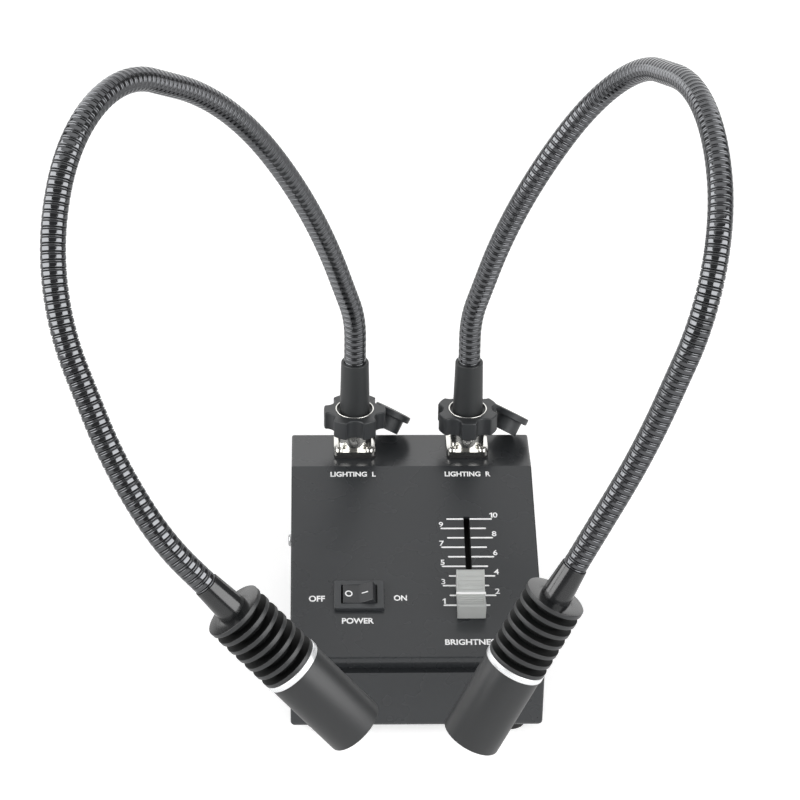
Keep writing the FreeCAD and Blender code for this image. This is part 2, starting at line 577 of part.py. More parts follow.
def build_rocker():
    """Rocker switch: a framed housing snapped into the panel, and the rocker that tilts in it."""
    pivot = "rocker_down"
    half = "(button_half_height + button_play)"
    frame = panel_box("rocker_x", f"{pivot} + bezel_height / 2", "0", "bezel_width",
                      "bezel_height", "bezel_lift")
    doc.recompute()
    frame = rounded(frame, "bezel_lift / 4", lambda e: True)
    body = panel_box("rocker_x", f"{pivot} + rocker_hole_height / 2 - rocker_fit",
                     "-housing_depth", "rocker_hole_width - 2 * rocker_fit",
                     "rocker_hole_height - 2 * rocker_fit", "housing_depth + bezel_lift / 2")
    well = panel_box("rocker_x", f"{pivot} + {half}", "-housing_depth + button_skirt",
                     "2 * (button_radius + button_play)", f"2 * {half}",
                     "housing_depth + 2 * bezel_lift")
    piece("rocker_housing", cut(fuse(frame, body), well))
    disc = rod("button_radius", "2 * button_half_height",
               on_panel("rocker_x", f"{pivot} - button_half_height", "pivot_lift"),
               ((1, 0, 0), f"90 deg + {SLOPE}"))
    slab = panel_box("rocker_x", f"{pivot} + button_half_height", "-button_skirt",
                     "4 * button_radius", "2 * button_half_height",
                     "button_skirt + button_ends")
    button = common(disc, slab)
    valley = "atan((button_ends - button_middle) / button_radius)"
    for sign in (-1, 1):
        lean = new("Part::Box")
        bind(lean, Length="2 * button_radius", Width="4 * button_half_height",
             Height="2 * button_ends")
        across = FreeCAD.Rotation(ALONG_Y, -sign * size(valley))
        lean.Placement.Rotation = FreeCAD.Rotation(ALONG_X, size(SLOPE)) * across
        start = "0" if sign > 0 else "2 * button_radius"
        place(lean, on_panel(f"rocker_x - {start} * cos({valley})",
                             f"{pivot} + 2 * button_half_height",
                             f"button_middle + {start} * sin({valley})"))
        button = cut(button, lean)
    tilt_about(button, "rocker_x", pivot, "pivot_lift", "rocker_swing")
    piece("rocker_button", button)
    piece("rocker_tags", group(*[
        panel_box(f"rocker_x + {a} * blade_spacing / 2", f"{pivot} + tag_height / 2",
                  "-housing_depth - tag_length", "tag_width", "tag_height",
                  "tag_length") for a in (-1, 1)]))


def tilt_about(obj, x, down, up, degrees):
    """Tip a piece to the left about an axis that runs up the panel through a point."""
    at = FreeCAD.Vector(*[size(text) for text in on_panel(x, down, up)])
    slope = math.radians(size(SLOPE))
    axis = FreeCAD.Vector(0, math.cos(slope), math.sin(slope))
    turn = FreeCAD.Rotation(axis, -size(degrees))
    obj.Placement = FreeCAD.Placement(at - turn.multVec(at), turn)


def socket_place(side, up):
    """The middle of a socket, at a height above the top of the case."""
    return (f"{SIDES[side]} * socket_spacing / 2", SOCKET_Y, f"{TOP} + ({up})")


def build_socket(side):
    """One panel socket: gasket, plated shell with a square flange, and the moulded core."""
    x, y, _ = socket_place(side, "0")

    def square(height, up):
        block = box("flange_size", "flange_size", height,
                    (f"{x} - flange_size / 2", f"{y} - flange_size / 2", f"{TOP} + ({up})"))
        return rounded(block, "flange_corner", lambda e: runs_along(e, ALONG_Z))

    def screw_holes(up):
        return [rod("small_screw_radius + hole_play", "4 * flange",
                    (f"{x} + {dx}", f"{y} + {dy}", f"{TOP} + ({up})"))
                for dx, dy in corners("flange_hole_spacing", "flange_hole_spacing")]

    piece(f"socket_gasket_{side}", cut(
        square("gasket", "0"), rod("tail_radius + tail_play", "4 * gasket",
                                   socket_place(side, "-gasket")), *screw_holes("-flange")))
    lug = box("lug_width", "lug_y + lug_end - flange_size / 2 + flange_corner", "flange",
              (f"{x} + lug_x - lug_width / 2", f"{y} + flange_size / 2 - flange_corner",
               f"{TOP} + gasket"))
    lug_pin = rod("lug_pin_radius", "lug_pin_height + flange / 2",
                  (f"{x} + lug_x", f"{y} + lug_y", f"{TOP} + gasket + flange / 2"))
    shell = fuse(square("flange", "gasket"), lug, lug_pin,
                 rod("barrel_radius", "flange + barrel_height", socket_place(side, "gasket")),
                 rod("tail_radius", "socket_tail + gasket + flange / 2",
                     socket_place(side, "-socket_tail")))
    bore = rod("socket_bore", f"{BARREL_TOP} + socket_tail + 2",
               socket_place(side, "-socket_tail - 1"))
    piece(f"socket_shell_{side}", cut(shell, bore, *screw_holes("0")))
    core = rod("socket_bore - core_play", "socket_tail + core_top",
               socket_place(side, "-socket_tail"))
    contacts = []
    for n in range(int(size("contact_count"))):
        angle = f"(45 + 360 * {n} / contact_count)"
        contacts.append(rod("contact_radius", "core_top", (
            f"{x} + contact_circle * cos({angle})", f"{y} + contact_circle * sin({angle})",
            f"{TOP} + 1")))
    piece(f"socket_core_{side}", cut(core, *contacts))


def build_plug(side):
    """The arm's plug: a turned metal body whose collar sits on the socket's barrel."""
    foot = "(core_top + plug_gap)"
    body = rod("plug_radius", f"{BARREL_TOP} - {foot}", socket_place(side, foot))
    collar = rod("collar_radius", "collar_height", socket_place(side, BARREL_TOP))
    neck = rod("plug_neck_radius", "collar_height + plug_neck", socket_place(side, BARREL_TOP))
    bore = rod("plug_bore", "2 * sleeve_top", socket_place(side, "0"))
    piece(f"arm_plug_{side}", cut(fuse(body, collar, neck), bore))


def build_nut(side):
    """The hand nut: a lobed moulding on a plated ring that draws the plug's collar down."""
    height = "(nut_top - nut_bottom)"
    disc = rod("nut_lobe_radius", height, socket_place(side, "nut_bottom"))
    x, y, _ = socket_place(side, "0")
    count = int(size("lobe_count"))
    first = 30 if side == "left" else 0
    scallops = []
    for n in range(count):
        angle = f"({first} + 360 * {n} / lobe_count)"
        reach = "(nut_valley + scallop_radius)"
        scallops.append(rod("scallop_radius", f"2 * {height}",
                            (f"{x} + {reach} * cos({angle})", f"{y} + {reach} * sin({angle})",
                             f"{TOP} + nut_bottom - {height} / 2")))
    lobes = cut(disc, *scallops)
    lobes = rounded(lobes, "lobe_round", lambda e: runs_along(e, ALONG_Z))
    flat_ends = (size(f"{TOP} + nut_bottom"), size(f"{TOP} + nut_top"))
    lobes = rounded(lobes, "nut_edge", lambda e: any(
        abs(e.BoundBox.ZMin - z) < 0.01 and abs(e.BoundBox.ZMax - z) < 0.01 for z in flat_ends))
    hole = rod("ring_outer + ring_fit", f"2 * {height}",
               socket_place(side, f"nut_bottom - {height} / 2"))
    piece(f"hand_nut_{side}", cut(lobes, hole))
    tube = rod("ring_outer", f"{height} + ring_proud", socket_place(side, "nut_bottom"))
    web_low = f"({BARREL_TOP} + collar_height + plug_gap)"
    lower = rod("ring_outer - ring_wall", f"{web_low} - nut_bottom + 1",
                socket_place(side, "nut_bottom - 1"))
    upper = rod("ring_outer - ring_wall", height, socket_place(side, f"{web_low} + web_height"))
    through = rod("web_bore", f"2 * {height}", socket_place(side, f"nut_bottom - 1"))
    piece(f"nut_ring_{side}", cut(tube, lower, upper, through))


def build_dust_cap(side):
    """A moulded dust cap that leans away beside its socket, turning on the flange's pin."""
    x, y, _ = socket_place(side, "0")
    frame = FreeCAD.Placement()
    heading = math.radians(size("lid_heading"))
    swing = FreeCAD.Rotation(FreeCAD.Vector(-math.sin(heading), math.cos(heading), 0),
                             size("lid_lean"))
    frame.Rotation = swing
    centre = [f"{x} + lid_x_{side}", f"{y} + lid_y_{side}", f"{TOP} + lid_z"]
    frame.Base = FreeCAD.Vector(*[size(text) for text in centre])
    plate = rod("lid_radius", "lid", ("0", "0", "-lid"))
    plate = rounded(plate, "lid_edge", lambda e: not isinstance(e.Curve, Part.Line))
    boss = rod("boss_radius", "boss_height + lid / 2", ("0", "0", "-lid - boss_height"))
    cap = fuse(plate, boss)
    cap.Placement = frame
    eye_z = "(gasket + flange + eye_lift)"
    pin_at = (f"{x} + lug_x", f"{y} + lug_y")
    eye = rod("eye_radius", "eye_height", (*pin_at, f"{TOP} + {eye_z}"))
    reach = box(f"lid_x_{side} - lug_x - eye_radius", "1.4 * eye_radius", "eye_height",
                (*pin_at[:1], f"{y} + lug_y - 0.7 * eye_radius", f"{TOP} + {eye_z}"))
    low = FreeCAD.Vector(0, 0, -size("lid + boss_height"))
    above_boss_foot = new("Part::Box")
    bind(above_boss_foot, Length="8 * lid_radius", Width="8 * lid_radius",
         Height="8 * lid_radius")
    above_boss_foot.Placement = frame.multiply(FreeCAD.Placement(
        low - FreeCAD.Vector(4, 4, 0) * size("lid_radius"), FreeCAD.Rotation()))
    hole = rod("lug_pin_radius + eye_play", "2 * lug_pin_height",
               (*pin_at, f"{TOP} + gasket"))
    piece(f"dust_cap_{side}", cut(fuse(cap, eye, common(reach, above_boss_foot)), hole))


def build_sleeve(side):
    """Tapered sleeve: grips the plug's neck below and the arm's ribbed tube above."""
    foot = f"({BARREL_TOP} + collar_height)"
    body = cone("sleeve_foot_radius", "sleeve_top_radius", f"sleeve_top - {foot}",
                socket_place(side, foot))
    body = rounded(body, "sleeve_rim", lambda e: abs(
        e.BoundBox.ZMin - size(f"{TOP} + sleeve_top")) < 0.01)
    neck = rod("plug_neck_radius", "plug_neck + 1", socket_place(side, f"{foot} - 1"))
    wires = rod("plug_neck_radius / 2", "sleeve_top", socket_place(side, foot))
    mouth = rod("rib_radius + hose_fit", "sleeve_socket_depth + 1",
                socket_place(side, "sleeve_top - sleeve_socket_depth"))
    piece(f"arm_sleeve_{side}", cut(body, neck, wires, mouth))


class Station:
    """A place on an arm's centre line, with the way the arm runs and two ways across it."""

    def __init__(self, point, along, across, back):
        self.point, self.along, self.across, self.back = point, along, across, back

    def ahead(self, length):
        """The station a straight length further on."""
        return Station(self.point + self.along * length, self.along, self.across, self.back)

    def round_a_bend(self, length, degrees, heading):
        """The station past part of a bend, or past all of it."""
        turn = math.radians(degrees)
        way = (self.across * math.cos(math.radians(heading))
               + self.back * math.sin(math.radians(heading)))
        radius = length / turn
        axis = self.along.cross(way)
        rotation = FreeCAD.Rotation(axis, degrees)
        point = (self.point + self.along * radius * math.sin(turn)
                 + way * radius * (1 - math.cos(turn)))
        return Station(point, *[rotation.multVec(v) for v in
                                (self.along, self.across, self.back)])

    def frame(self):
        """A placement whose Z runs along the arm."""
        matrix = FreeCAD.Matrix(self.across.x, self.back.x, self.along.x, self.point.x,
                                self.across.y, self.back.y, self.along.y, self.point.y,
                                self.across.z, self.back.z, self.along.z, self.point.z,
                                0, 0, 0, 1)
        return FreeCAD.Placement(matrix)


def arm_lengths(side):
    """Each length of an arm as a list of runs: (length, bend, heading), with 0 for straight."""
    end = (size("straight_end"), 0, 0)
    first, second, third, fourth, fifth, sixth, seventh = ARM_BENDS[side]
    foot, long_bend = size("foot_bend"), size("long_bend")
    start = size("hose_start + sleeve_socket_depth")
    last = size("straight_end + neck_socket_depth")
    return [
        [(start, 0, 0), (foot, *first), end],
        [end, (long_bend, *second), (long_bend, *third), end],
        [end, (long_bend, *fourth), (long_bend, *fifth), end],
        [end, (size("tip_bend"), *sixth), (size("last_bend"), *seventh), (last, 0, 0)],
    ]


def arm_start(side):
    """The foot of an arm's tube, on the seat inside its sleeve."""
    at = socket_place(side, "sleeve_top - sleeve_socket_depth")
    point = FreeCAD.Vector(*[size(text) for text in at])
    return Station(point, ALONG_Z, ALONG_X, ALONG_Y)


def station_at(start, runs, distance):
    """The station at a distance along a list of runs."""
    here = start
    for length, degrees, heading in runs:
        part = min(distance, length)
        if degrees and part > 0:
            here = here.round_a_bend(part, degrees * part / length, heading)
        elif part > 0:
            here = here.ahead(part)
        distance -= length
        if distance <= 0:
            break
    return here


def loft(stations, radii):
    """A ruled solid through circles across the arm."""
    wires = []
    for station, radius in zip(stations, radii):
        circle = Part.Circle()
        circle.Radius = radius
        edge = circle.toShape()
        edge.Placement = station.frame()
        wires.append(Part.Wire([edge]))
    return Part.makeLoft(wires, True, True)


def ribbed_tube(start, runs, first, last):
    """Ribs and bore along the runs, from the distance first to the distance last."""
    pitch = size("rib_pitch")
    count = int((last - first) / pitch)
    margin = (last - first - count * pitch) / 2
    crown, valley = size("rib_radius"), size("rib_valley")
    rise, flat = size("rib_rise"), size("rib_crown")
    spots, radii = [first], [valley]
    for n in range(count):
        foot = first + margin + n * pitch + (pitch - flat - 2 * rise) / 2
        spots += [foot, foot + rise, foot + rise + flat, foot + 2 * rise + flat]
        radii += [valley, crown, crown, valley]
    spots.append(last)
    radii.append(valley)
    outside = loft([station_at(start, runs, d) for d in spots], radii)
    steps = max(2, math.ceil((last - first) / size("bore_step")))
    inner = [first + (last - first) * n / steps for n in range(steps + 1)]
    bore = loft([station_at(start, runs, d) for d in inner], [size("hose_bore")] * (steps + 1))
    return outside.cut(bore)


def at_station(shape, station):
    """Stand a shape, drawn about the origin along Z, at a station."""
    shape.Placement = station.frame()
    return shape


def ball_cup(station):
    """The cup that ends a length of arm, hollowed for the next length's ball."""
    reach, length = size("cup_reach"), size("cup_length")
    body = Part.makeCylinder(size("cup_radius"), length + reach, FreeCAD.Vector(0, 0, -length))
    body = body.common(Part.makeCylinder(size("cup_radius"), length).translated(
        FreeCAD.Vector(0, 0, -length)).fuse(Part.makeSphere(size("cup_sphere"))))
    body = body.cut(Part.makeSphere(size("ball_radius + ball_gap")))
    bore = Part.makeCylinder(size("hose_bore"), length, FreeCAD.Vector(0, 0, -length - 0.5))
    return at_station(body.cut(bore), station)


def ball_end(station):
    """The ball that starts a length of arm, on a neck out of a dished collar."""
    dish = size("cup_sphere + ball_gap")
    collar_end = size("dish_collar")
    collar = Part.makeCylinder(size("cup_radius + collar_play"), collar_end)
    collar = collar.cut(Part.makeSphere(dish))
    neck = Part.makeCylinder(size("ball_neck_radius"), collar_end)
    ball = Part.makeSphere(size("ball_radius")).fuse(neck).fuse(collar)
    bore = Part.makeCylinder(size("ball_bore"), 4 * collar_end,
                             FreeCAD.Vector(0, 0, -2 * collar_end))
    return at_station(ball.cut(bore), station)


def build_arm(side):
    """The ribbed tube in four lengths, joined by small ball joints hidden between ribs."""
    start = arm_start(side)
    lengths = arm_lengths(side)
    for n, runs in enumerate(lengths, start=1):
        whole = sum(run[0] for run in runs)
        finish = station_at(start, runs, whole)
        first = 0 if n == 1 else size("dish_collar")
        last = whole if n == len(lengths) else whole - size("cup_length")
        tube = ribbed_tube(start, runs, first, last)
        if n > 1:
            tube = tube.fuse(ball_end(start))
        if n < len(lengths):
            tube = tube.fuse(ball_cup(finish))
        feature = new("Part::Feature")
        feature.Shape = tube
        piece(f"arm_tube_{n}_{side}", feature)
        if n < len(lengths):
            way = finish.along
            print(f"{side} joint {n} at {finish.point.x:.2f}, {finish.point.y:.2f}, "
                  f"{finish.point.z:.2f} along {way.x:.4f}, {way.y:.4f}, {way.z:.4f}")
        start = finish
    return start.ahead(-size("neck_socket_depth"))


def build_head(side, mouth):
    """One lamp head, from the neck that holds the arm's end to the lens."""
    frame = mouth.frame()

    def turned(name, solid):
        solid.Placement = frame
        piece(f"{name}_{side}", solid)

    sink_foot = "neck_length"
    neck = rounded(rod("neck_radius", "neck_length", ("0", "0", "0")), "neck_round",
                   lambda e: e.BoundBox.ZMax < 0.01)
    seat = rod("rib_radius + hose_fit", "neck_socket_depth + 1", ("0", "0", "-1"))
    turned("head_neck", cut(neck, seat, rod("wire_bore", "2 * neck_length", ("0", "0", "0"))))
    core_length = "(fin * fin_count + fin_gap * (fin_count - 1))"
    fins = [rod("fin_radius", "fin", ("0", "0", f"{sink_foot} + {n} * (fin + fin_gap)"))
            for n in range(int(size("fin_count")))]
    core = rod("sink_core_radius", core_length, ("0", "0", sink_foot))
    spigot = rod("spigot_radius", f"ring_length + spigot_length",
                 ("0", "0", f"{sink_foot} + {core_length}"))
    turned("heat_sink", cut(fuse(core, *fins, spigot),
                            rod("wire_bore", "4 * barrel_length", ("0", "0", "0"))))
    ring_foot = f"({sink_foot} + {core_length})"
    ring = rod("ring_radius", "ring_length", ("0", "0", ring_foot))
    turned("trim_ring", cut(ring, rod("spigot_radius + spigot_play", "2 * ring_length",
                                      ("0", "0", f"{ring_foot} - 1"))))
    barrel_foot = f"({sink_foot} + {HEAD_TO_BARREL})"
    barrel_end = f"({barrel_foot} + barrel_length)"
    outside = rounded(rod("barrel_tube_radius", "barrel_length", ("0", "0", barrel_foot)),
                      "barrel_edge", lambda e: not isinstance(e.Curve, Part.Line))
    grip = rod("spigot_radius + spigot_play", "barrel_length", ("0", "0", f"{barrel_foot} - 1"))
    lens_foot = f"({barrel_end} - lens_from_mouth - lens_length)"
    room = rod("lens_radius + lens_play", "barrel_length",
               ("0", "0", f"{lens_foot} - lens_seat"))
    turned("lamp_barrel", cut(outside, grip, room))
    board_foot = f"({barrel_foot} + spigot_length)"
    turned("lamp_board", fuse(
        rod("spigot_radius", "lamp_board", ("0", "0", board_foot)),
        box("2 * lamp_chip", "2 * lamp_chip", "chip_height + lamp_board / 2",
            ("-lamp_chip", "-lamp_chip", f"{board_foot} + lamp_board / 2"))))
    lens = rod("lens_radius", "lens_length", ("0", "0", lens_foot))
    hollow = rod("lens_cup_radius", "lens_cup_depth + 1", ("0", "0", f"{lens_foot} - 1"))
    turned("lens", cut(lens, hollow))


build_tray()
build_cover()
build_fasteners()
build_feet()
build_inlet()
build_power_board()
build_fader()
build_rocker()
arm_ends = {}
for arm_side in SIDES:
    build_socket(arm_side)
    build_plug(arm_side)
    build_nut(arm_side)
    build_dust_cap(arm_side)
    build_sleeve(arm_side)
    arm_ends[arm_side] = build_arm(arm_side)
    build_head(arm_side, arm_ends[arm_side])
doc.recompute()
for arm_side, end in arm_ends.items():
    print(f"{arm_side} head at {end.point.x:.2f}, {end.point.y:.2f}, {end.point.z:.2f} "
          f"along {end.along.x:.4f}, {end.along.y:.4f}, {end.along.z:.4f}")

for item in doc.Objects:
    if "Invalid" in item.State or "Error" in item.State:
        raise RuntimeError(f"{item.Name} {item.TypeId} failed: {item.State}")
for label, item in pieces.items():
    if item.Shape.isNull() or not item.Shape.isValid() or not item.Shape.Solids:
        raise RuntimeError(f"{label} has no valid solid")
for label, item in pieces.items():
    item.Shape.exportStep(f"parts/{label}.step")
    print(label, len(item.Shape.Solids), round(item.Shape.Volume, 1))
print(len(pieces), "pieces")
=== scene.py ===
"""Looks of a twin-arm bench spot light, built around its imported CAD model.

The case, sockets, hand nuts and sleeves keep their CAD shapes and get their finishes here. The
ribbed arms, lamp heads, dimmer cap, switch, nut rings, screw heads and print are modelled here.
Everything is in metres, in the CAD model's frame; sizes in the classes are in millimetres.
"""

import json
import logging
import math
from collections.abc import Sequence
from dataclasses import dataclass, field
from enum import Enum

import bmesh
import bpy
from mathutils import Matrix, Vector


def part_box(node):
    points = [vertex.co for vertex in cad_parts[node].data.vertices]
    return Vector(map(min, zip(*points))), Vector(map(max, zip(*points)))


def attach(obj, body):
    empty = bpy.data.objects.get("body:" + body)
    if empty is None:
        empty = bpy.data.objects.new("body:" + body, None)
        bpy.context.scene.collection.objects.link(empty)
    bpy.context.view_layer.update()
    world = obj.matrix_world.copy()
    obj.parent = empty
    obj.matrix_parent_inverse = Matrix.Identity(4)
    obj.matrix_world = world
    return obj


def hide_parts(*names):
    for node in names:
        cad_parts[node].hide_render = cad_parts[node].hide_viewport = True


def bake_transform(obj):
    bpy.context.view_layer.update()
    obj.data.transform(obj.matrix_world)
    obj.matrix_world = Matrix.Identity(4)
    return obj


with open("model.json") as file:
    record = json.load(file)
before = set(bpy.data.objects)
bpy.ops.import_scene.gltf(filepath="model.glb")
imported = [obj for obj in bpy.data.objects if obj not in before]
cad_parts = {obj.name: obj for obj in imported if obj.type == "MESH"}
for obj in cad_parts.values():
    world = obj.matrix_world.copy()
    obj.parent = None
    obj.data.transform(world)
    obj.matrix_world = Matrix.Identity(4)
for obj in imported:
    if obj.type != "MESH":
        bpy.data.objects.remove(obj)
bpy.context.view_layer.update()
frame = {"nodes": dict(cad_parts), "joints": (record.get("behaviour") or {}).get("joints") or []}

LOG = logging.getLogger("spot_light")
MM = 0.001
# Where the centres of the two sockets stand, to either side of the middle and behind it, mm.
SOCKET_X, SOCKET_Y = 24.8, 53.6
Point = tuple[float, float]


class Side(Enum):
    """The two sides of the case, with the sign of X on each."""

    LEFT = -1
    RIGHT = 1

    @property
    def label(self) -> str:
        """The word that ends the names of this side's nodes and bodies."""
        return self.name.lower()


def linear(hex_code: str) -> tuple[float, ...]:
    """Turn an sRGB hex colour into the linear one, with alpha, that Blender's sockets take."""
    parts = [int(hex_code[i:i + 2], 16) / 255 for i in (0, 2, 4)]
    return *(p / 12.92 if p <= 0.04045 else ((p + 0.055) / 1.055) ** 2.4 for p in parts), 1.0


def add(tree: bpy.types.NodeTree, kind: str, inputs: dict | None = None,
        **settings: object) -> bpy.types.Node:
    """Add a node to a tree, with its settings, values and links.

    Args:
        tree: The shader or geometry tree.
        kind: The node's type name.
        inputs: Values, or sockets to link from, by input name or number.
        settings: Properties to set before the inputs.

    Returns:
        The new node.
    """
    made = tree.nodes.new(kind)
    for name, value in settings.items():
        setattr(made, name, value)
    for key, value in (inputs or {}).items():
        if isinstance(value, bpy.types.NodeSocket):
            tree.links.new(value, made.inputs[key])
        else:
            made.inputs[key].default_value = value
    return made


def remapped(tree: bpy.types.NodeTree, value: bpy.types.NodeSocket, ends: Sequence[float],
             results: Sequence[object]) -> bpy.types.NodeSocket:
    """Map a value between two ends to one between two results, and hold it past them."""
    return add(tree, "ShaderNodeMapRange", {
        "Value": value, "From Min": ends[0], "From Max": ends[1], "To Min": results[0],
        "To Max": results[1]}).outputs["Result"]


@dataclass(frozen=True)
class Skin:
    """A material's tree and shader, with the ways in which its surface can vary."""

    tree: bpy.types.NodeTree
    shader: bpy.types.Node

    def link(self, name: str, source: bpy.types.NodeSocket) -> None:
        """Drive one of the shader's inputs."""
        self.tree.links.new(source, self.shader.inputs[name])

    def noise(self, width: float, detail: float, rough: float = 0.5) -> bpy.types.NodeSocket:
        """A noise over the piece whose features are a width across, mm."""
        return add(self.tree, "ShaderNodeTexNoise", {
            "Vector": add(self.tree, "ShaderNodeTexCoord").outputs["Object"],
            "Scale": 1 / (width * MM), "Detail": detail, "Roughness": rough}).outputs["Fac"]

    def tone(self, colour: str, source: bpy.types.NodeSocket, share: float) -> None:
        """Vary a colour's value by a pattern, up and down by a share of it."""
        self.link("Base Color", add(self.tree, "ShaderNodeHueSaturation", {
            "Color": linear(colour), "Value": remapped(
                self.tree, source, (0, 1), (1 - share, 1 + share))}).outputs["Color"])

    def sheen(self, source: bpy.types.NodeSocket, ends: Point, results: Point) -> None:
        """Vary the roughness by a pattern."""
        self.link("Roughness", remapped(self.tree, source, ends, results))

    def raised(self, source: bpy.types.NodeSocket, height: float) -> None:
        """Raise a pattern by a height, mm."""
        self.link("Normal", add(self.tree, "ShaderNodeBump", {
            "Height": source, "Distance": height * MM, "Strength": 1.0}).outputs["Normal"])


@dataclass(frozen=True)
class Finish:
    """A surface: what it is made of and how it was made. Colours are sRGB hex.

    Attributes:
        name: The material's name.
        colour: Its main colour.
        roughness: How far it spreads a reflection.
        metallic: 1 for bare metal.
        ior: Refractive index of the surface layer.
    """

    name: str
    colour: str
    roughness: float
    metallic: float = 0.0
    ior: float = 1.5

    def material(self) -> bpy.types.Material:
        """Return this finish's material, made the first time it is asked for."""
        known = bpy.data.materials.get(self.name)
        if known:
            return known
        made = bpy.data.materials.new(self.name)
        made.use_nodes = True
        shader = made.node_tree.nodes["Principled BSDF"]
        shader.inputs["Base Color"].default_value = linear(self.colour)
        shader.inputs["Roughness"].default_value = self.roughness
        shader.inputs["Metallic"].default_value = self.metallic
        if not self.metallic:
            shader.inputs["IOR"].default_value = self.ior
        self.detail(Skin(made.node_tree, shader))
        return made

    def detail(self, skin: Skin) -> None:
        """Add what varies over the surface."""
        raise NotImplementedError


@dataclass(frozen=True)
class Grained(Finish):
    """A coat or moulding with an all-over fine grain and faint clouding.

    Attributes:
        grain: Width of one grain, mm.
        relief: Height of the grain, mm.
        cloud: Width of the faint clouds in colour and sheen, mm.
        mottle: Strength of the clouds, as a share.
    """

    grain: float = 0.5
    relief: float = 0.01
    cloud: float = 14.0
    mottle: float = 0.05

    def detail(self, skin: Skin) -> None:
        """Add grain to the normal and clouds to colour and roughness."""
        clouds = skin.noise(self.cloud, 3.0, 0.55)
        skin.tone(self.colour, clouds, self.mottle)
        skin.sheen(clouds, (0.3, 0.7), (self.roughness - 0.04, self.roughness + 0.04))
        skin.raised(skin.noise(self.grain, 2.0, 0.6), self.relief)


@dataclass(frozen=True)
class Turned(Finish):
    """Metal turned on a lathe: fine rings round the work, which draw a highlight out.

    Attributes:
        ring: Spacing of the tool's rings, mm. The piece's UV map runs in metres along its profile.
        relief: Height of the rings, mm.
        mottle: Change of tone from ring to ring, as a share.
    """

    ring: float = 0.4
    relief: float = 0.0002
    mottle: float = 0.08

    def detail(self, skin: Skin) -> None:
        """Add rings to the normal, colour and roughness."""
        place = add(skin.tree, "ShaderNodeUVMap", uv_map="Profile").outputs["UV"]
        along = add(skin.tree, "ShaderNodeSeparateXYZ", {"Vector": place}).outputs["Y"]
        rings = add(skin.tree, "ShaderNodeTexNoise", {
            "W": along, "Scale": 1 / (self.ring * MM), "Detail": 3.0, "Roughness": 0.7},
            noise_dimensions="1D").outputs["Fac"]
        skin.tone(self.colour, rings, self.mottle)
        skin.sheen(rings, (0.25, 0.75), (self.roughness - 0.05, self.roughness + 0.05))
        skin.raised(rings, self.relief)


@dataclass(frozen=True)
class RibbedCoat(Finish):
    """Dark plate on a ribbed tube, bright on the bands and dull down in the grooves, which carry
    painted shade.

    Attributes:
        groove_colour: Colour of the painted shade at the bottom of a groove.
        groove_roughness: Roughness at the bottom of a groove.
        scuff: Width of the faint scuffs on the crowns, mm.
    """

    # Painted shade: the near-black colour down in each groove.
    groove_colour: str = "040404"
    groove_roughness: float = 0.7
    scuff: float = 2.5

    def detail(self, skin: Skin) -> None:
        """Mix the crown and the painted groove shade by the tube's own depth attribute."""
        depth = add(skin.tree, "ShaderNodeAttribute", attribute_name="groove_depth").outputs["Fac"]
        skin.link("Base Color", add(skin.tree, "ShaderNodeMix", {
            "Factor": depth, "A": linear(self.colour), "B": linear(self.groove_colour)},
            data_type="RGBA").outputs["Result"])
        crown = remapped(skin.tree, skin.noise(self.scuff, 4.0, 0.6), (0.3, 0.7),
                         (self.roughness - 0.05, self.roughness + 0.06))
        skin.sheen(depth, (0, 1), (crown, self.groove_roughness))


@dataclass(frozen=True)
class Plated(Finish):
    """Bright plate on turned or stamped metal, with the faint smears of handling.

    Attributes:
        smear: Width of a smear, mm.
        haze: How much a smear adds to the roughness.
    """

    smear: float = 4.0
    haze: float = 0.08

    def detail(self, skin: Skin) -> None:
        """Add smears to the roughness."""
        skin.sheen(skin.noise(self.smear, 4.0, 0.65), (0.35, 0.7),
                   (self.roughness, self.roughness + self.haze))


@dataclass(frozen=True)
class Clear(Finish):
    """A clear moulded optic with the faint waviness of its mould.

    Attributes:
        wave: Width of a wave in the surface, mm.
        relief: Height of a wave, mm.
    """

    wave: float = 3.0
    relief: float = 0.01

    def detail(self, skin: Skin) -> None:
        """Let light through and add the waviness."""
        skin.shader.inputs["Transmission Weight"].default_value = 1.0
        skin.raised(skin.noise(self.wave, 1.0), self.relief)


# Matt powder coat baked on steel: even, faintly orange-peeled, paler where it faces the light.
POWDER_COAT = Grained("Powder coat, charcoal", "2F3133", 0.27, grain=0.45, relief=0.0015,
                      cloud=22.0, mottle=0.01)
# ABS from a spark-eroded mould: a fine even dullness with soft highlights along rounded edges.
ABS_BLACK = Grained("Moulded ABS, black", "26282A", 0.46, grain=0.3, relief=0.012)
# The switch's frame: the same moulding with a finer texture, a shade greyer than the panel.
ABS_FRAME = Grained("Moulded ABS, dark grey", "383A3C", 0.38, grain=0.3, relief=0.004, mottle=0.02)
# Nylon from a smoother mould, for the hand nuts: waxy, with a broad sheen on the lobes.
NYLON_NUT = Grained("Moulded nylon, black", "2A2C2E", 0.42, grain=0.35)
# Polished moulding of the rocker: reflects the room's edges softly.
ROCKER_BLACK = Grained("Polished moulding, black", "303133", 0.3, grain=0.8, relief=0.002,
                       mottle=0.03)
# Vinyl sleeve: soft, dull, and slightly greyer than the tube it grips.
SLEEVE_VINYL = Grained("Vinyl sleeve, black", "232526", 0.5, mottle=0.06)
# Styrene cap of the dimmer, mid grey, lightly polished by fingers.
CAP_GREY = Grained("Moulded styrene, mid grey", "B2B4B2", 0.4, grain=0.4, relief=0.004,
                   mottle=0.03)
# Moulded rubber: no gloss at all.
RUBBER = Grained("Moulded rubber, black", "161616", 0.75, grain=0.4, relief=0.02, mottle=0.08)
# Black anodising on turned aluminium: a dark satin that shows the lathe's rings as streaks.
ANODISED = Turned("Anodised turned aluminium, black", "1E1F20", 0.16, ior=1.6, relief=0.0003,
                  mottle=0.03)
# The fins' rims and barrels are blasted, then anodised: lamps show as soft bands on them.
BLASTED = Turned("Blasted and anodised aluminium, black", "2B2C2D", 0.42, mottle=0.02)
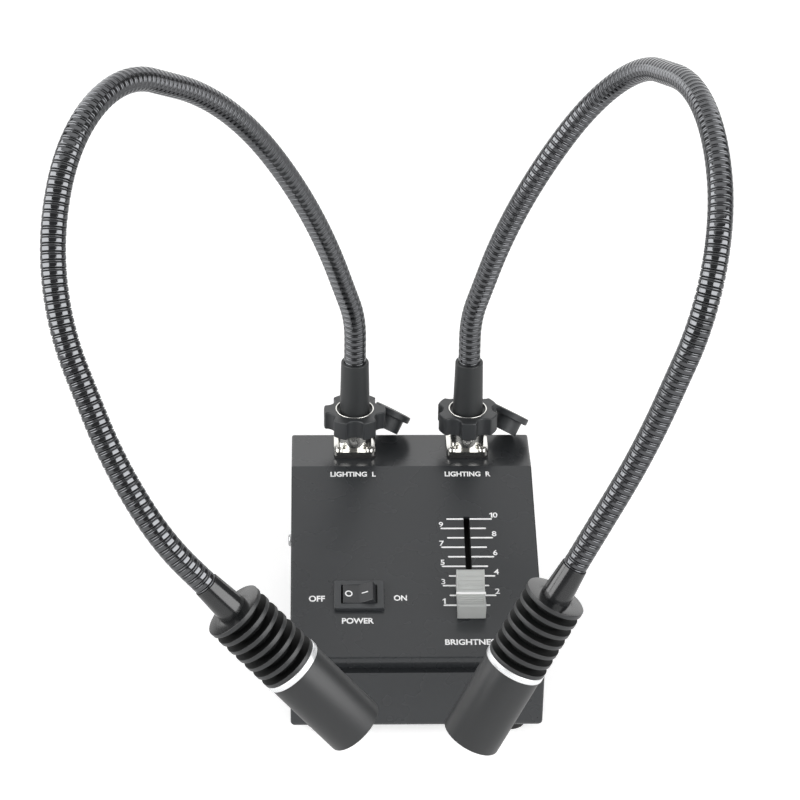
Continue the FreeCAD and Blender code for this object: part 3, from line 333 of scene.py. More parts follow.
# Anodising between the fins, where neither the blast nor much light reaches: a dead black that is
# painted shade.
FIN_GAP_SHADE = Turned("Anodised aluminium between fins, black", "131414", 0.6, ior=1.3)
# Bare turned aluminium of the trim ring: bright, drawn into fine rings. Part metallic, so that
# it stays white where the room behind it is dark.
BRIGHT_ALUMINIUM = Turned("Turned aluminium, bright", "F4F5F6", 0.3, metallic=0.6, ring=0.25,
                          relief=0.0004, mottle=0.02)
# Black nickel on the flexible tube: a dark mirror on the bands, with painted shade near black
# between them.
TUBE_PLATE = RibbedCoat("Black nickel plate on ribbed tube", "626365", 0.13, metallic=1.0)
# Nickel plate on brass: mirror bright, slightly warm.
NICKEL = Plated("Bright nickel plate", "D9D8D4", 0.1, metallic=1.0)
# Zinc plate on the small screws: greyer and hazier.
ZINC = Plated("Zinc plate", "A9AAAB", 0.28, metallic=1.0, smear=1.5)
# Drawn brass of the standoffs and terminals: yellow, with soft reflections.
BRASS = Plated("Plain brass", "C9A45C", 0.25, metallic=1.0, smear=2.0)
# Screen-printing ink: flat and slightly chalky.
INK = Grained("Screen ink, white", "FCFCFC", 0.5, grain=0.25, relief=0.002, cloud=1.5, mottle=0.01)
# Solder mask on the boards: a smooth lacquer over the copper and glass.
BOARD_GREEN = Grained("Solder mask, green", "1E5B33", 0.35, grain=1.2, mottle=0.1)
BOARD_WHITE = Grained("Solder mask, white", "E9E8E2", 0.4, grain=0.8, relief=0.006, mottle=0.04)
# Polyester tape wound on the transformer: glossy, with faint wrinkles.
TAPE_AMBER = Grained("Polyester tape, amber", "B98A2C", 0.3, grain=2.0, relief=0.02, mottle=0.1)
# Shrink sleeve of the capacitors: a glossy dark film.
CAN_SLEEVE = Grained("Shrink sleeve, dark blue", "1C2140", 0.3, grain=1.0)
# Rolled aluminium of the heat plate: bright and hazy.
PLAIN_ALUMINIUM = Plated("Rolled aluminium", "C8C9CA", 0.35, metallic=1.0, smear=2.0)
# Phosphor over the lamp chip: an opaque yellow gel.
PHOSPHOR = Grained("Lamp chip phosphor, yellow", "E8C84A", 0.5, grain=0.3)
# Acrylic of the lens: clear and polished, with the slight waves of its mould.
LENS_ACRYLIC = Clear("Moulded acrylic, clear", "FFFFFF", 0.03, ior=1.49)

CAD_FINISHES: dict[str, Finish] = {
    "base_tray": POWDER_COAT, "top_cover": POWDER_COAT, "feet": RUBBER,
    "foot_screws": ZINC, "power_inlet": ABS_BLACK, "inlet_pins": NICKEL,
    "power_board": BOARD_GREEN, "board_standoffs": BRASS, "board_screws": ZINC,
    "supply_transformer": TAPE_AMBER, "supply_capacitors": CAN_SLEEVE,
    "supply_heat_plate": PLAIN_ALUMINIUM, "control_board": BOARD_GREEN, "stud_nuts": ZINC,
    "fader_track": RUBBER, "fader_carriage": RUBBER, "rocker_tags": BRASS,
}
SIDE_FINISHES: dict[str, Finish] = {
    "socket_gasket": RUBBER, "socket_shell": NICKEL, "socket_core": ABS_BLACK,
    "arm_plug": ABS_BLACK, "hand_nut": NYLON_NUT, "dust_cap": ABS_BLACK,
    "arm_sleeve": SLEEVE_VINYL,
}


def linked(name: str, mesh: bpy.types.Mesh) -> bpy.types.Object:
    """Put a mesh into the scene as an object."""
    obj = bpy.data.objects.new(name, mesh)
    bpy.context.scene.collection.objects.link(obj)
    return obj


def plain_mesh(obj: bpy.types.Object) -> bpy.types.Object:
    """Replace an object with what its modifiers make of it, as a mesh at the origin."""
    graph = bpy.context.evaluated_depsgraph_get()
    mesh = bpy.data.meshes.new_from_object(obj.evaluated_get(graph))
    name, place = obj.name, obj.matrix_world.copy()
    bpy.data.objects.remove(obj)
    mesh.name = name
    mesh.transform(place)
    return linked(name, mesh)


def redressed(obj: bpy.types.Object, finish: Finish) -> bpy.types.Object:
    """Give an object one finish in place of those it has."""
    obj.data.materials.clear()
    obj.data.materials.append(finish.material())
    return obj


def mesh_of(name: str, shape: bmesh.types.BMesh, finish: Finish) -> bpy.types.Object:
    """Turn a finished BMesh into an object with its finish."""
    mesh = bpy.data.meshes.new(name)
    shape.to_mesh(mesh)
    shape.free()
    return redressed(linked(name, mesh), finish)


def sheet(name: str, points: Sequence[Point], finish: Finish) -> bpy.types.Object:
    """Make one flat face in XY from its corners, in metres."""
    shape = bmesh.new()
    shape.faces.new([shape.verts.new((x, y, 0)) for x, y in points])
    return mesh_of(name, shape, finish)


def joined(name: str, parts: Sequence[bpy.types.Object]) -> bpy.types.Object:
    """Join plain mesh objects into the first of them, keeping each one's finish."""
    with bpy.context.temp_override(active_object=parts[0], object=parts[0],
                                   selected_objects=list(parts),
                                   selected_editable_objects=list(parts)):
        bpy.ops.object.join()
    parts[0].name = parts[0].data.name = name
    return parts[0]


def shift(x: float, y: float, z: float) -> Matrix:
    """A move, in mm."""
    return Matrix.Translation((x * MM, y * MM, z * MM))


def moved(obj: bpy.types.Object, place: Matrix) -> bpy.types.Object:
    """Apply a place to an object's mesh, and leave the object at the origin."""
    obj.data.transform(place)
    obj.data.update()
    return obj


def deliver(obj: bpy.types.Object, body: str, slot: str, *replaced: str) -> None:
    """Attach a finished piece to its body, and hide the CAD nodes that it stands for.

    Args:
        obj: The piece, in place.
        body: The CAD body that it rides on.
        slot: The record's material slot for its finish; not used.
        replaced: CAD nodes that it stands for.
    """
    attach(obj, body)
    if replaced:
        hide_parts(*replaced)
    LOG.info("%s rides on %s, %d faces", obj.name, body, len(obj.data.polygons))


def joint_named(name: str) -> dict:
    """The joint of that name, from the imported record."""
    return next(joint for joint in frame["joints"] if joint["name"] == name)


def filleted(corners: Sequence[tuple[float, ...]], steps: int = 4) -> list[Point]:
    """Round the corners of a profile.

    Args:
        corners: Radius, height and, for a round corner, the radius of its fillet, in order, mm.
        steps: Straight pieces in each fillet.

    Returns:
        Points of the rounded profile, mm.
    """
    points: list[Point] = []
    for index, (radius, height, *fillet) in enumerate(corners):
        here = Vector((radius, height))
        if not fillet:
            points.append(tuple(here))
            continue
        before, after = ((Vector(corners[index + n][:2]) - here).normalized() for n in (-1, 1))
        half_turn = before.angle(after) / 2
        reach = fillet[0] / math.tan(half_turn)
        start, end = here + before * reach, here + after * reach
        centre = here + (before + after).normalized() * (fillet[0] / math.sin(half_turn))
        for step in range(steps + 1):
            chord = start.lerp(end, step / steps) - centre
            points.append(tuple(centre + chord.normalized() * fillet[0]))
    return points


def sharpen(shape: bmesh.types.BMesh, limit: float) -> None:
    """Mark the edges that turn by more than a limit, in degrees, as sharp."""
    for edge in shape.edges:
        edge.smooth = (len(edge.link_faces) == 2
                       and edge.calc_face_angle(math.pi) < math.radians(limit))


def turned(name: str, profile: Sequence[Point], finish: Finish,
           sides: int = 72) -> bpy.types.Object:
    """Spin a profile round Z into a closed piece, with a UV map in metres along the profile.

    Args:
        name: Name of the piece.
        profile: Radius and height points in mm, from one end on the axis or wall to the other.
            A profile that doesn't start and end on the axis is closed back on itself.
        finish: Its finish.
        sides: Faces round the piece.

    Returns:
        The piece, with sharp edges where the profile turns sharply.
    """
    shape = bmesh.new()
    uv_layer = shape.loops.layers.uv.new("Profile")
    on_axis = [radius < 1e-6 for radius, _ in profile]
    rings = []
    for (radius, height), at_centre in zip(profile, on_axis):
        turns = [math.tau * k / sides for k in range(1 if at_centre else sides)]
        ring = [shape.verts.new((radius * MM * math.cos(a), radius * MM * math.sin(a),
                                 height * MM)) for a in turns]
        rings.append(ring * (sides // len(ring)))
    count = len(profile)
    run = 0.0
    for low in range(count - 1 if on_axis[0] and on_axis[-1] else count):
        high = (low + 1) % count
        end = run + math.dist(profile[low], profile[high]) * MM
        for k in range(sides):
            after = (k + 1) % sides
            loop = [(rings[low][k], k, run), (rings[low][after], k + 1, run),
                    (rings[high][after], k + 1, end), (rings[high][k], k, end)]
            unique = [item for n, item in enumerate(loop) if item[0] is not loop[n - 1][0]]
            if len(unique) < 3:
                continue
            face = shape.faces.new([item[0] for item in unique])
            face.smooth = True
            for corner, (_, step, height) in zip(face.loops, unique):
                corner[uv_layer].uv = (step / sides * profile[0][0] * MM, height)
        run = end
    bmesh.ops.recalc_face_normals(shape, faces=shape.faces)
    sharpen(shape, 35)
    return mesh_of(name, shape, finish)


def prism(name: str, outline: Sequence[Point], low: float, high: float,
          finish: Finish, bevel: float = 0.0) -> bpy.types.Object:
    """Raise an outline in XY into a solid between two heights, with rounded edges.

    Args:
        name: Name of the piece.
        outline: Corners in mm, anticlockwise.
        low: Height of its foot, mm.
        high: Height of its top, mm.
        finish: Its finish.
        bevel: Radius on its edges, mm.

    Returns:
        The piece as a plain mesh.
    """
    shape = bmesh.new()
    foot, top = ([shape.verts.new((x * MM, y * MM, z * MM)) for x, y in outline]
                 for z in (low, high))
    shape.faces.new(list(reversed(foot)))
    shape.faces.new(top)
    for k, vert in enumerate(foot):
        after = (k + 1) % len(foot)
        shape.faces.new([vert, foot[after], top[after], top[k]])
    bmesh.ops.recalc_face_normals(shape, faces=shape.faces)
    obj = mesh_of(name, shape, finish)
    return beveled(obj, bevel) if bevel else obj


def hollowed(obj: bpy.types.Object, tools: Sequence[bpy.types.Object]) -> bpy.types.Object:
    """Cut closed shapes, which stay in the scene, out of a closed object."""
    for tool in tools:
        cut = obj.modifiers.new("Cut", "BOOLEAN")
        cut.operation = "DIFFERENCE"
        cut.object = tool
    return plain_mesh(obj)


def beveled(obj: bpy.types.Object, width: float, angle: float = 40) -> bpy.types.Object:
    """Round the edges that turn by more than an angle, in degrees, by a width in mm."""
    rounding = obj.modifiers.new("Rounding", "BEVEL")
    rounding.width = width * MM
    rounding.segments = 3
    rounding.limit_method = "ANGLE"
    rounding.angle_limit = math.radians(angle)
    rounding.harden_normals = True
    for face in obj.data.polygons:
        face.use_smooth = True
    return plain_mesh(obj)


def rounded_box(width: float, depth: float, radius: float) -> list[Point]:
    """The outline of a rectangle with round corners, about the origin, anticlockwise."""
    steps = 4
    points = []
    for turn, (sx, sy) in enumerate(((1, -1), (1, 1), (-1, 1), (-1, -1))):
        for step in range(steps + 1):
            angle = math.radians(90 * (turn - 1) + 90 * step / steps)
            points.append((sx * (width / 2 - radius) + radius * math.cos(angle),
                           sy * (depth / 2 - radius) + radius * math.sin(angle)))
    return points


class Tree:
    """A geometry tree with named inputs, run on an object and turned into a plain mesh."""

    def __init__(self, name: str, **kinds: str) -> None:
        """Start a tree that takes a geometry, the inputs named here and a finish.

        Args:
            name: The tree's name.
            kinds: The kind of each input, by its name.
        """
        self.tree = bpy.data.node_groups.new(name, "GeometryNodeTree")
        self.sockets: dict[str, str] = {}
        for key, kind in {"Geometry": "Geometry", **kinds, "Finish": "Material"}.items():
            made = self.tree.interface.new_socket(key, in_out="INPUT",
                                                  socket_type=f"NodeSocket{kind}")
            self.sockets[key] = made.identifier
        self.tree.interface.new_socket("Geometry", in_out="OUTPUT",
                                       socket_type="NodeSocketGeometry")
        self.entries = add(self.tree, "NodeGroupInput").outputs

    def close(self, result: bpy.types.NodeSocket) -> None:
        """End the tree: real geometry, then its finish."""
        real = add(self.tree, "GeometryNodeRealizeInstances", {0: result})
        dressed = add(self.tree, "GeometryNodeSetMaterial", {
            "Geometry": real.outputs[0], "Material": self.entries["Finish"]})
        add(self.tree, "NodeGroupOutput", {0: dressed.outputs["Geometry"]})

    def run(self, obj: bpy.types.Object, finish: Finish, **values: object) -> bpy.types.Object:
        """Run the tree on an object.

        Args:
            obj: The object whose mesh the tree starts from.
            finish: The finish of the result.
            values: The tree's other inputs by name.

        Returns:
            The result as a plain mesh object.
        """
        modifier = obj.modifiers.new(self.tree.name, "NODES")
        modifier.node_group = self.tree
        for name, value in {**values, "Finish": finish.material()}.items():
            modifier[self.sockets[name]] = value
        return plain_mesh(obj)

    def copy_onto(self, points: bpy.types.Node) -> None:
        """End the tree with a copy of its geometry on each point of a node's mesh."""
        self.close(add(self.tree, "GeometryNodeInstanceOnPoints", {
            "Points": points.outputs["Mesh"],
            "Instance": self.entries["Geometry"]}).outputs["Instances"])


def line_tree() -> Tree:
    """Build the tree that repeats a mesh along a straight line."""
    tree = Tree("Copies in a line", Count="Int", Step="Vector")
    tree.copy_onto(add(tree.tree, "GeometryNodeMeshLine", {
        "Count": tree.entries["Count"], "Offset": tree.entries["Step"]}))
    return tree


def corner_tree() -> Tree:
    """Build the tree that sets a mesh at the four corners of a rectangle."""
    tree = Tree("Copies at four corners", Width="Float", Depth="Float")
    tree.copy_onto(add(tree.tree, "GeometryNodeMeshGrid", {
        "Size X": tree.entries["Width"], "Size Y": tree.entries["Depth"], "Vertices X": 2,
        "Vertices Y": 2}))
    return tree


# One rib as share of the pitch and share of the height: a wide band, a groove, the narrow wire
# between two bands, and the other groove, in whose middle the rib starts and ends.
RIB_PROFILE: tuple[Point, ...] = (
    (0.0, 0.3), (0.05, 0.95), (0.1, 0.995), (0.35, 1.0), (0.55, 0.995), (0.6, 0.9), (0.65, 0.0),
    (0.7, 0.1), (0.75, 0.8), (0.8, 0.93), (0.85, 0.95), (0.9, 0.9), (0.95, 0.55), (1.0, 0.3))


def tube_tree() -> Tree:
    """Build the tree that grows a ribbed tube along a mesh line.

    The tube's radius follows the distance along the line by one curve from rib to rib.
    """
    tree = Tree("Ribbed tube", Ribs="Int", Crest="Float", Valley="Float",
                Sides="Int", Steps="Int")
    nodes, entries = tree.tree, tree.entries

    def maths(operation: str, first: object, second: object = 0.0) -> bpy.types.NodeSocket:
        """One step of arithmetic."""
        return add(nodes, "ShaderNodeMath", {0: first, 1: second},
                   operation=operation).outputs[0]

    line = add(nodes, "GeometryNodeMeshToCurve", {"Mesh": entries["Geometry"]})
    count = maths("ADD", maths("MULTIPLY", entries["Ribs"], entries["Steps"]), 1.0)
    even = add(nodes, "GeometryNodeResampleCurve", {
        "Curve": line.outputs["Curve"], "Count": count})
    along = add(nodes, "GeometryNodeSplineParameter").outputs["Factor"]
    phase = maths("FRACT", maths("MULTIPLY", along, entries["Ribs"]))
    shape = add(nodes, "ShaderNodeFloatCurve", {"Value": phase})
    curve = shape.mapping.curves[0]
    curve.points[0].location, curve.points[-1].location = RIB_PROFILE[0], RIB_PROFILE[-1]
    for share, level in RIB_PROFILE[1:-1]:
        curve.points.new(share, level)
    for point in curve.points:
        point.handle_type = "VECTOR"
    shape.mapping.update()
    level = shape.outputs["Value"]
    height = maths("MULTIPLY", level, maths("SUBTRACT", entries["Crest"], entries["Valley"]))
    # How far down a groove each point lies: it sets the painted groove shade and the rougher
    # surface there.
    groove = add(nodes, "ShaderNodeMapRange", {
        "Value": level, "From Min": 0.75, "From Max": 0.25},
        interpolation_type="SMOOTHSTEP").outputs["Result"]
    marked = add(nodes, "GeometryNodeStoreNamedAttribute", {
        "Geometry": even.outputs["Curve"], "Name": "groove_depth", "Value": groove},
        data_type="FLOAT", domain="POINT")
    ring = add(nodes, "GeometryNodeCurvePrimitiveCircle", {
        "Resolution": entries["Sides"], "Radius": 1.0})
    skin = add(nodes, "GeometryNodeCurveToMesh", {
        "Curve": marked.outputs["Geometry"], "Profile Curve": ring.outputs["Curve"],
        "Scale": maths("ADD", entries["Valley"], height), "Fill Caps": True})
    smooth = add(nodes, "GeometryNodeSetShadeSmooth", {"Geometry": skin.outputs["Mesh"]})
    tree.close(smooth.outputs["Geometry"])
    return tree


@dataclass
class Panel:
    """The sloped face of the cover, with sizes down its slope from the ridge, mm."""

    top_depth: float = 27.0
    print_lift: float = 0.04
    place: Matrix = field(init=False)

    def __post_init__(self) -> None:
        """Find the panel from the cover's box and the dimmer's direction of travel."""
        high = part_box("top_cover")[1]
        uphill = Vector(joint_named("fader_slide")["axis"]).normalized()
        across = Vector((1, 0, 0))
        self.place = Matrix.Translation((0, high.y - self.top_depth * MM, high.z)) @ Matrix(
            (across, uphill, across.cross(uphill))).transposed().to_4x4()

    def at(self, x: float, down: float, up: float = 0.0) -> Matrix:
        """A place on the panel: X across, Y up the slope and Z out of it."""
        return self.place @ shift(x, -down, up)


# The number 1 with its flag, as shares of its height.
ONE_OUTLINE: tuple[Point, ...] = (
    (0.2, 0.0), (0.42, 0.0), (0.42, 1.0), (0.27, 1.0), (0.0, 0.8), (0.0, 0.62), (0.2, 0.74))


@dataclass(frozen=True)
class Words:
    """Printed words and the box that they fill on the panel, mm.

    A box of no width lets them keep their own shape about its middle, a little stretched.
    """

    text: str
    left: float
    right: float
    top: float
    foot: float


@dataclass
class PanelPrint:
    """The white print on the panel: words, the dimmer's scale and its numbers, mm.

    Letters and numbers are made bolder by a share of their size.
    """

    panel: Panel
    words: tuple[Words, ...] = (
        Words("LIGHTING  L", -35.5, -15.7, 3.3, 6.2), Words("LIGHTING  R", 14.3, 34.3, 3.3, 6.2),
        Words("OFF", -44.8, -38.1, 73.1, 76.3), Words("ON", -9.3, -3.8, 73.0, 76.0),
        Words("POWER", -31.1, -17.8, 85.1, 88.2), Words("BRIGHTNESS", 11.4, 34.0, 96.6, 99.6),
    )
    scale_top: float = 30.8
    pitch: float = 5.3
    steps: int = 9
    line_width: float = 0.85
    slot_x: float = 22.8
    slot_clear: float = 1.3
    even_reach: Point = (8.7, 11.0)
    odd_reach: Point = (11.4, 8.2)
    even_offset: float = 0.55
    odd_offset: float = 0.35
    digit_lift: float = 0.35
    digit_height: float = 2.9
    digit_stretch: float = 1.05
    digit_gap: float = 0.9
    boldness: float = 0.03
    digit_boldness: float = 0.018

    def fitted(self, words: Words, boldness: float) -> bpy.types.Object:
        """Print words into their box on the panel, as a flat mesh.

        Args:
            words: The words and their box.
            boldness: How far the strokes are widened, as a share of the letters' size.

        Returns:
            The mark on the panel.
        """
        if words.text == "1":
            return self.placed(sheet("Print_1", ONE_OUTLINE, INK), words)
        curve = bpy.data.curves.new(words.text, "FONT")
        curve.body = "6" if words.text == "9" else words.text
        curve.offset = boldness
        obj = linked(f"Print_{words.text.replace(' ', '_')}", curve)
        bpy.context.view_layer.update()
        flat = redressed(plain_mesh(obj), INK)
        if words.text == "9":
            moved(flat, Matrix.Rotation(math.pi, 4, "Z"))
        return self.placed(flat, words)

    def placed(self, flat: bpy.types.Object, words: Words) -> bpy.types.Object:
        """Bring a flat mark in XY into its box on the panel."""
        places = [vert.co for vert in flat.data.vertices]
        low = Vector((min(p.x for p in places), min(p.y for p in places)))
        high = Vector((max(p.x for p in places), max(p.y for p in places)))
        tall = (words.foot - words.top) * MM / (high.y - low.y)
        wide = (words.right - words.left) * MM / (high.x - low.x) or self.digit_stretch * tall
        middle = (words.left + words.right) / 2
        return moved(flat, self.panel.at(middle, words.foot, self.panel.print_lift)
                     @ Matrix.Diagonal((wide, tall, 1, 1))
                     @ Matrix.Translation((-(low.x + high.x) / 2, -low.y, 0)))

    def scale_lines(self, name: str, first: int, reach: Point, copies: Tree) -> bpy.types.Object:
        """Rule every second line of the scale, broken where the slot runs.

        Args:
            name: Name of the piece.
            first: Which line it starts on, counted from the top.
            reach: How far the lines run to the left and right of the slot, mm.
            copies: The tree that repeats a mesh along a line.

        Returns:
            The lines as one flat mesh on the panel.
        """
        shape = bmesh.new()
        for start, end in ((-reach[0], -self.slot_clear), (self.slot_clear, reach[1])):
            corners = rounded_box(end - start, self.line_width, self.line_width / 2 - 0.01)
            middle = (start + end) / 2
            shape.faces.new([shape.verts.new(((x + middle) * MM, y * MM, 0)) for x, y in corners])
        lines = copies.run(mesh_of(name, shape, INK), INK, Count=self.steps // 2 + 1,
                           Step=(0, -2 * self.pitch * MM, 0))
        return moved(lines, self.panel.at(self.slot_x, self.scale_top + first * self.pitch,
                                          self.panel.print_lift))

    def numbers(self) -> list[bpy.types.Object]:
        """Print 10 to 1 over the outer ends of the scale's lines."""
        made = []
        for index in range(self.steps + 1):
            value = self.steps + 1 - index
            middle = self.slot_x + (-self.odd_reach[0] + self.odd_offset if value % 2
                                    else self.even_reach[1] + self.even_offset)
            foot = (self.scale_top + index * self.pitch - self.line_width / 2
                    - self.digit_lift)
            digits = [(str(value), middle)] if value < 10 else [
                ("1", middle - self.digit_gap), ("0", middle + self.digit_gap)]
            made += [self.fitted(Words(digit, x, x, foot - self.digit_height, foot),
                                 self.digit_boldness) for digit, x in digits]
        return made

    def build(self, copies: Tree) -> None:
        """Print the panel."""
        parts = [self.fitted(words, self.boldness) for words in self.words]
        parts += self.numbers()
        parts.append(self.scale_lines("Scale_even", 0, self.even_reach, copies))
        parts.append(self.scale_lines("Scale_odd", 1, self.odd_reach, copies))
        deliver(joined("Panel_print", parts), "case", "case_paint")


@dataclass(frozen=True)
class Grooves:
    """A row of finger grooves across a half of the cap, mm."""

    centres: tuple[float, ...]
    width: float
    depth: float

    def cut(self, along: float) -> float:
        """How deep the row is at a distance in front of the cap's middle."""
        nearest = min(abs(along - centre) for centre in self.centres)
        return self.depth * max(0.0, 1 - (2 * nearest / self.width) ** 2)


@dataclass
class DimmerCap:
    """The grey cap of the dimmer: a saddle with finger grooves and a white pointer, mm."""

    panel: Panel
    x: float = 22.8
    down: float = 76.1
    width: float = 11.8
    length: float = 20.0
    lift: float = 0.6
    rear: float = 8.5
    saddle: float = 5.1
    front: float = 8.6
    land: float = 0.9
    rise_power: float = 1.55
    rim: float = 0.75
    rim_step: float = 0.16
    rim_round: float = 0.22
    station: float = 0.1
    rear_grooves: Grooves = Grooves((-7.7, -5.9, -4.1, -2.3), 0.95, 0.42)
    front_grooves: Grooves = Grooves((2.0, 3.5, 5.0, 6.5), 0.6, 0.25)
    pointer: tuple[float, float] = (12.4, 1.1)
    pointer_ends: tuple[float, float] = (-0.4, 0.12)

    def height(self, along: float) -> float:
        """Height of the saddle at a distance in front of its middle, mm."""
        end = self.rear if along < 0 else self.front
        share = min(1.0, abs(along) / (self.length / 2 - self.land))
        return self.saddle + (end - self.saddle) * share ** self.rise_power

    def outline(self, grooved: bool, lower: float) -> list[Point]:
        """The outline from the side, anticlockwise seen from the right, its top a little lower."""
        half = self.length / 2
        points = [(-half, self.lift), (half, self.lift)]
        for n in range(int(self.length / self.station) + 1):
            along = half - self.station * n
            row = self.rear_grooves if along < 0 else self.front_grooves
            points.append((along, self.height(along) - lower
                           - (row.cut(along) if grooved else 0.0)))
        return points

    def slab(self, name: str, left: float, right: float, lower: float,
             grooved: bool) -> bpy.types.Object:
        """One slice of the cap between two planes across it.

        Args:
            name: Name of the slice.
            left: Where it starts across the cap, mm.
            right: Where it ends, mm.
            lower: How far its top lies under the saddle, mm.
            grooved: Whether the finger grooves cross it.

        Returns:
            The slice, standing on the panel's own axes.
        """
        obj = prism(name, self.outline(grooved, lower), left, right, CAP_GREY)
        moved(obj, Matrix(((0, 0, 1, 0), (-1, 0, 0, 0), (0, 1, 0, 0), (0, 0, 0, 1))))
        shape = bmesh.new()
        shape.from_mesh(obj.data)
        bmesh.ops.recalc_face_normals(shape, faces=shape.faces)
        for face in shape.faces:
            face.smooth = True
        sharpen(shape, 40)
        shape.to_mesh(obj.data)
        shape.free()
        return obj

    def build(self) -> None:
        """Make the cap and its pointer, and put them on the dimmer."""
        half = self.width / 2
        parts = [self.slab("Cap_middle", -half + self.rim, half - self.rim, self.rim_step, True)]
        parts += [beveled(self.slab(f"Cap_rim_{word}", low, low + self.rim, 0.0, False),
                          self.rim_round)
                  for word, low in (("left", -half), ("right", half - self.rim))]
        low, high = (self.saddle + end for end in self.pointer_ends)
        parts.append(prism("Cap_pointer", rounded_box(*self.pointer, 0.1), low, high, INK, 0.05))
        cap = moved(joined("Dimmer_cap", parts), self.panel.at(self.x, self.down))
        deliver(cap, "fader", "fader_plastic", "fader_cap")


@dataclass
class Rocker:
    """The rocker switch: its frame, and its rocker tipped to off with a ring and a line, mm.

    The frame, body and well are given by width, height and the radius of their corners.
    """

    panel: Panel
    x: float = -23.8
    down: float = 73.9
    frame: tuple[float, ...] = (21.0, 15.0, 0.9)
    frame_lift: float = 2.0
    frame_edge: float = 0.4
    body: tuple[float, ...] = (19.0, 12.8, 0.3)
    body_top: float = 0.2
    body_depth: float = 14.0
    well: tuple[float, ...] = (15.2, 10.2, 0.25)
    well_depth: float = 13.0
    radius: float = 7.4
    half_height: float = 4.9
    pivot_lift: float = 0.5
    skirt: float = 4.0
    middle: float = 2.1
    ends: float = 3.6
    top_reach: float = 6.3
    dish_power: float = 1.15
    edge: float = 0.35
    edge_angle: float = 50.0
    swing: float = 9.0
    ring_x: float = -4.0
    line_x: float = 2.8
    ring_radius: float = 1.6
    line_length: float = 2.9
    mark_width: float = 0.55
    mark_height: float = 0.05
    mark_lift: float = 0.01

    def outline(self) -> list[Point]:
        """The rocker's outline from its lower side, anticlockwise."""
        foot = math.sqrt(self.radius ** 2 - (self.skirt + self.pivot_lift) ** 2)
        start = math.atan2(-(self.skirt + self.pivot_lift), foot)
        arc = [start * (1 - n / 6) for n in range(1, 7)]
        right = [(self.radius * math.cos(a), self.radius * math.sin(a) + self.pivot_lift)
                 for a in arc]
        dish = [(x, self.top(x)) for x in (self.top_reach * (1 - n / 8) for n in range(9))]
        left = [(-x, z) for x, z in reversed(right + dish[:-1])]
        return [(-foot, -self.skirt), (foot, -self.skirt), *right, *dish, *left]

    def top(self, x: float) -> float:
        """Height of the dished top at a distance across, mm."""
        return self.middle + (self.ends - self.middle) * (
            abs(x) / self.top_reach) ** self.dish_power

    def build_frame(self) -> None:
        """Make the switch's frame and body with one well through both."""
        parts = [prism("Frame", rounded_box(*self.frame), 0, self.frame_lift, ABS_FRAME,
                       self.frame_edge),
                 prism("Body", rounded_box(*self.body), -self.body_depth, self.body_top,
                       ABS_FRAME)]
        well = prism("Well", rounded_box(*self.well), -self.well_depth, 2 * self.frame_lift,
                     ABS_FRAME)
        cut_parts = [hollowed(part, [well]) for part in parts]
        bpy.data.objects.remove(well)
        whole = moved(joined("Switch_frame", cut_parts), self.panel.at(self.x, self.down))
        deliver(whole, "case", "black_plastic", "rocker_housing")

    def build(self) -> None:
        """Make the switch and put it on the panel."""
        self.build_frame()
        body = prism("Rocker_body", self.outline(), -self.half_height, self.half_height,
                     ROCKER_BLACK)
        stand = Matrix(((1, 0, 0, 0), (0, 0, -1, 0), (0, 1, 0, 0), (0, 0, 0, 1)))
        body = beveled(moved(body, stand), self.edge, self.edge_angle)
        inner = self.ring_radius - self.mark_width
        ring = turned("Rocker_ring", [(inner, 0), (self.ring_radius, 0),
                                      (self.ring_radius, self.mark_height),
                                      (inner, self.mark_height)], INK, 40)
        line = prism("Rocker_line", rounded_box(self.line_length, self.mark_width, 0.15), 0,
                     self.mark_height, INK)
        for mark, x in ((ring, self.ring_x), (line, self.line_x)):
            rise = (self.top(x + 1) - self.top(x - 1)) / 2
            moved(mark, shift(x, 0, self.top(x) + self.mark_lift)
                  @ Matrix.Rotation(-math.atan(rise), 4, "Y"))
        tip = (shift(0, 0, self.pivot_lift) @ Matrix.Rotation(-math.radians(self.swing), 4, "Y")
               @ shift(0, 0, -self.pivot_lift))
        whole = moved(joined("Rocker", [body, ring, line]), self.panel.at(self.x, self.down) @ tip)
        deliver(whole, "rocker", "rocker_plastic", "rocker_button")


@dataclass
class ScrewHead:
    """A pan head with a cross recess, about the origin with its seat at height 0, mm.

    The recess and its arms' half width are shares of the head's radius.
    """

    radius: float
    height: float
    recess: float = 0.62
    arm: float = 0.2

    def build(self, name: str, finish: Finish) -> bpy.types.Object:
        """Make the head as a plain mesh."""
        shank = self.radius * 0.6
        head = turned(name, filleted([
            (0, -0.3), (shank, -0.3), (shank, 0), (self.radius, 0),
            (self.radius, self.height * 0.95, self.height * 0.6), (0, self.height)], 5), finish, 32)
        long, wide = 2 * self.recess * self.radius, 2 * self.arm * self.radius
        cross = [prism(f"{name}_cut", rounded_box(w, d, self.arm * self.radius * 0.3),
                       self.height * 0.35, self.height * 2, finish)
                 for w, d in ((long, wide), (wide, long))]
        result = hollowed(head, cross)
        for tool in cross:
            bpy.data.objects.remove(tool)
        return redressed(result, finish)


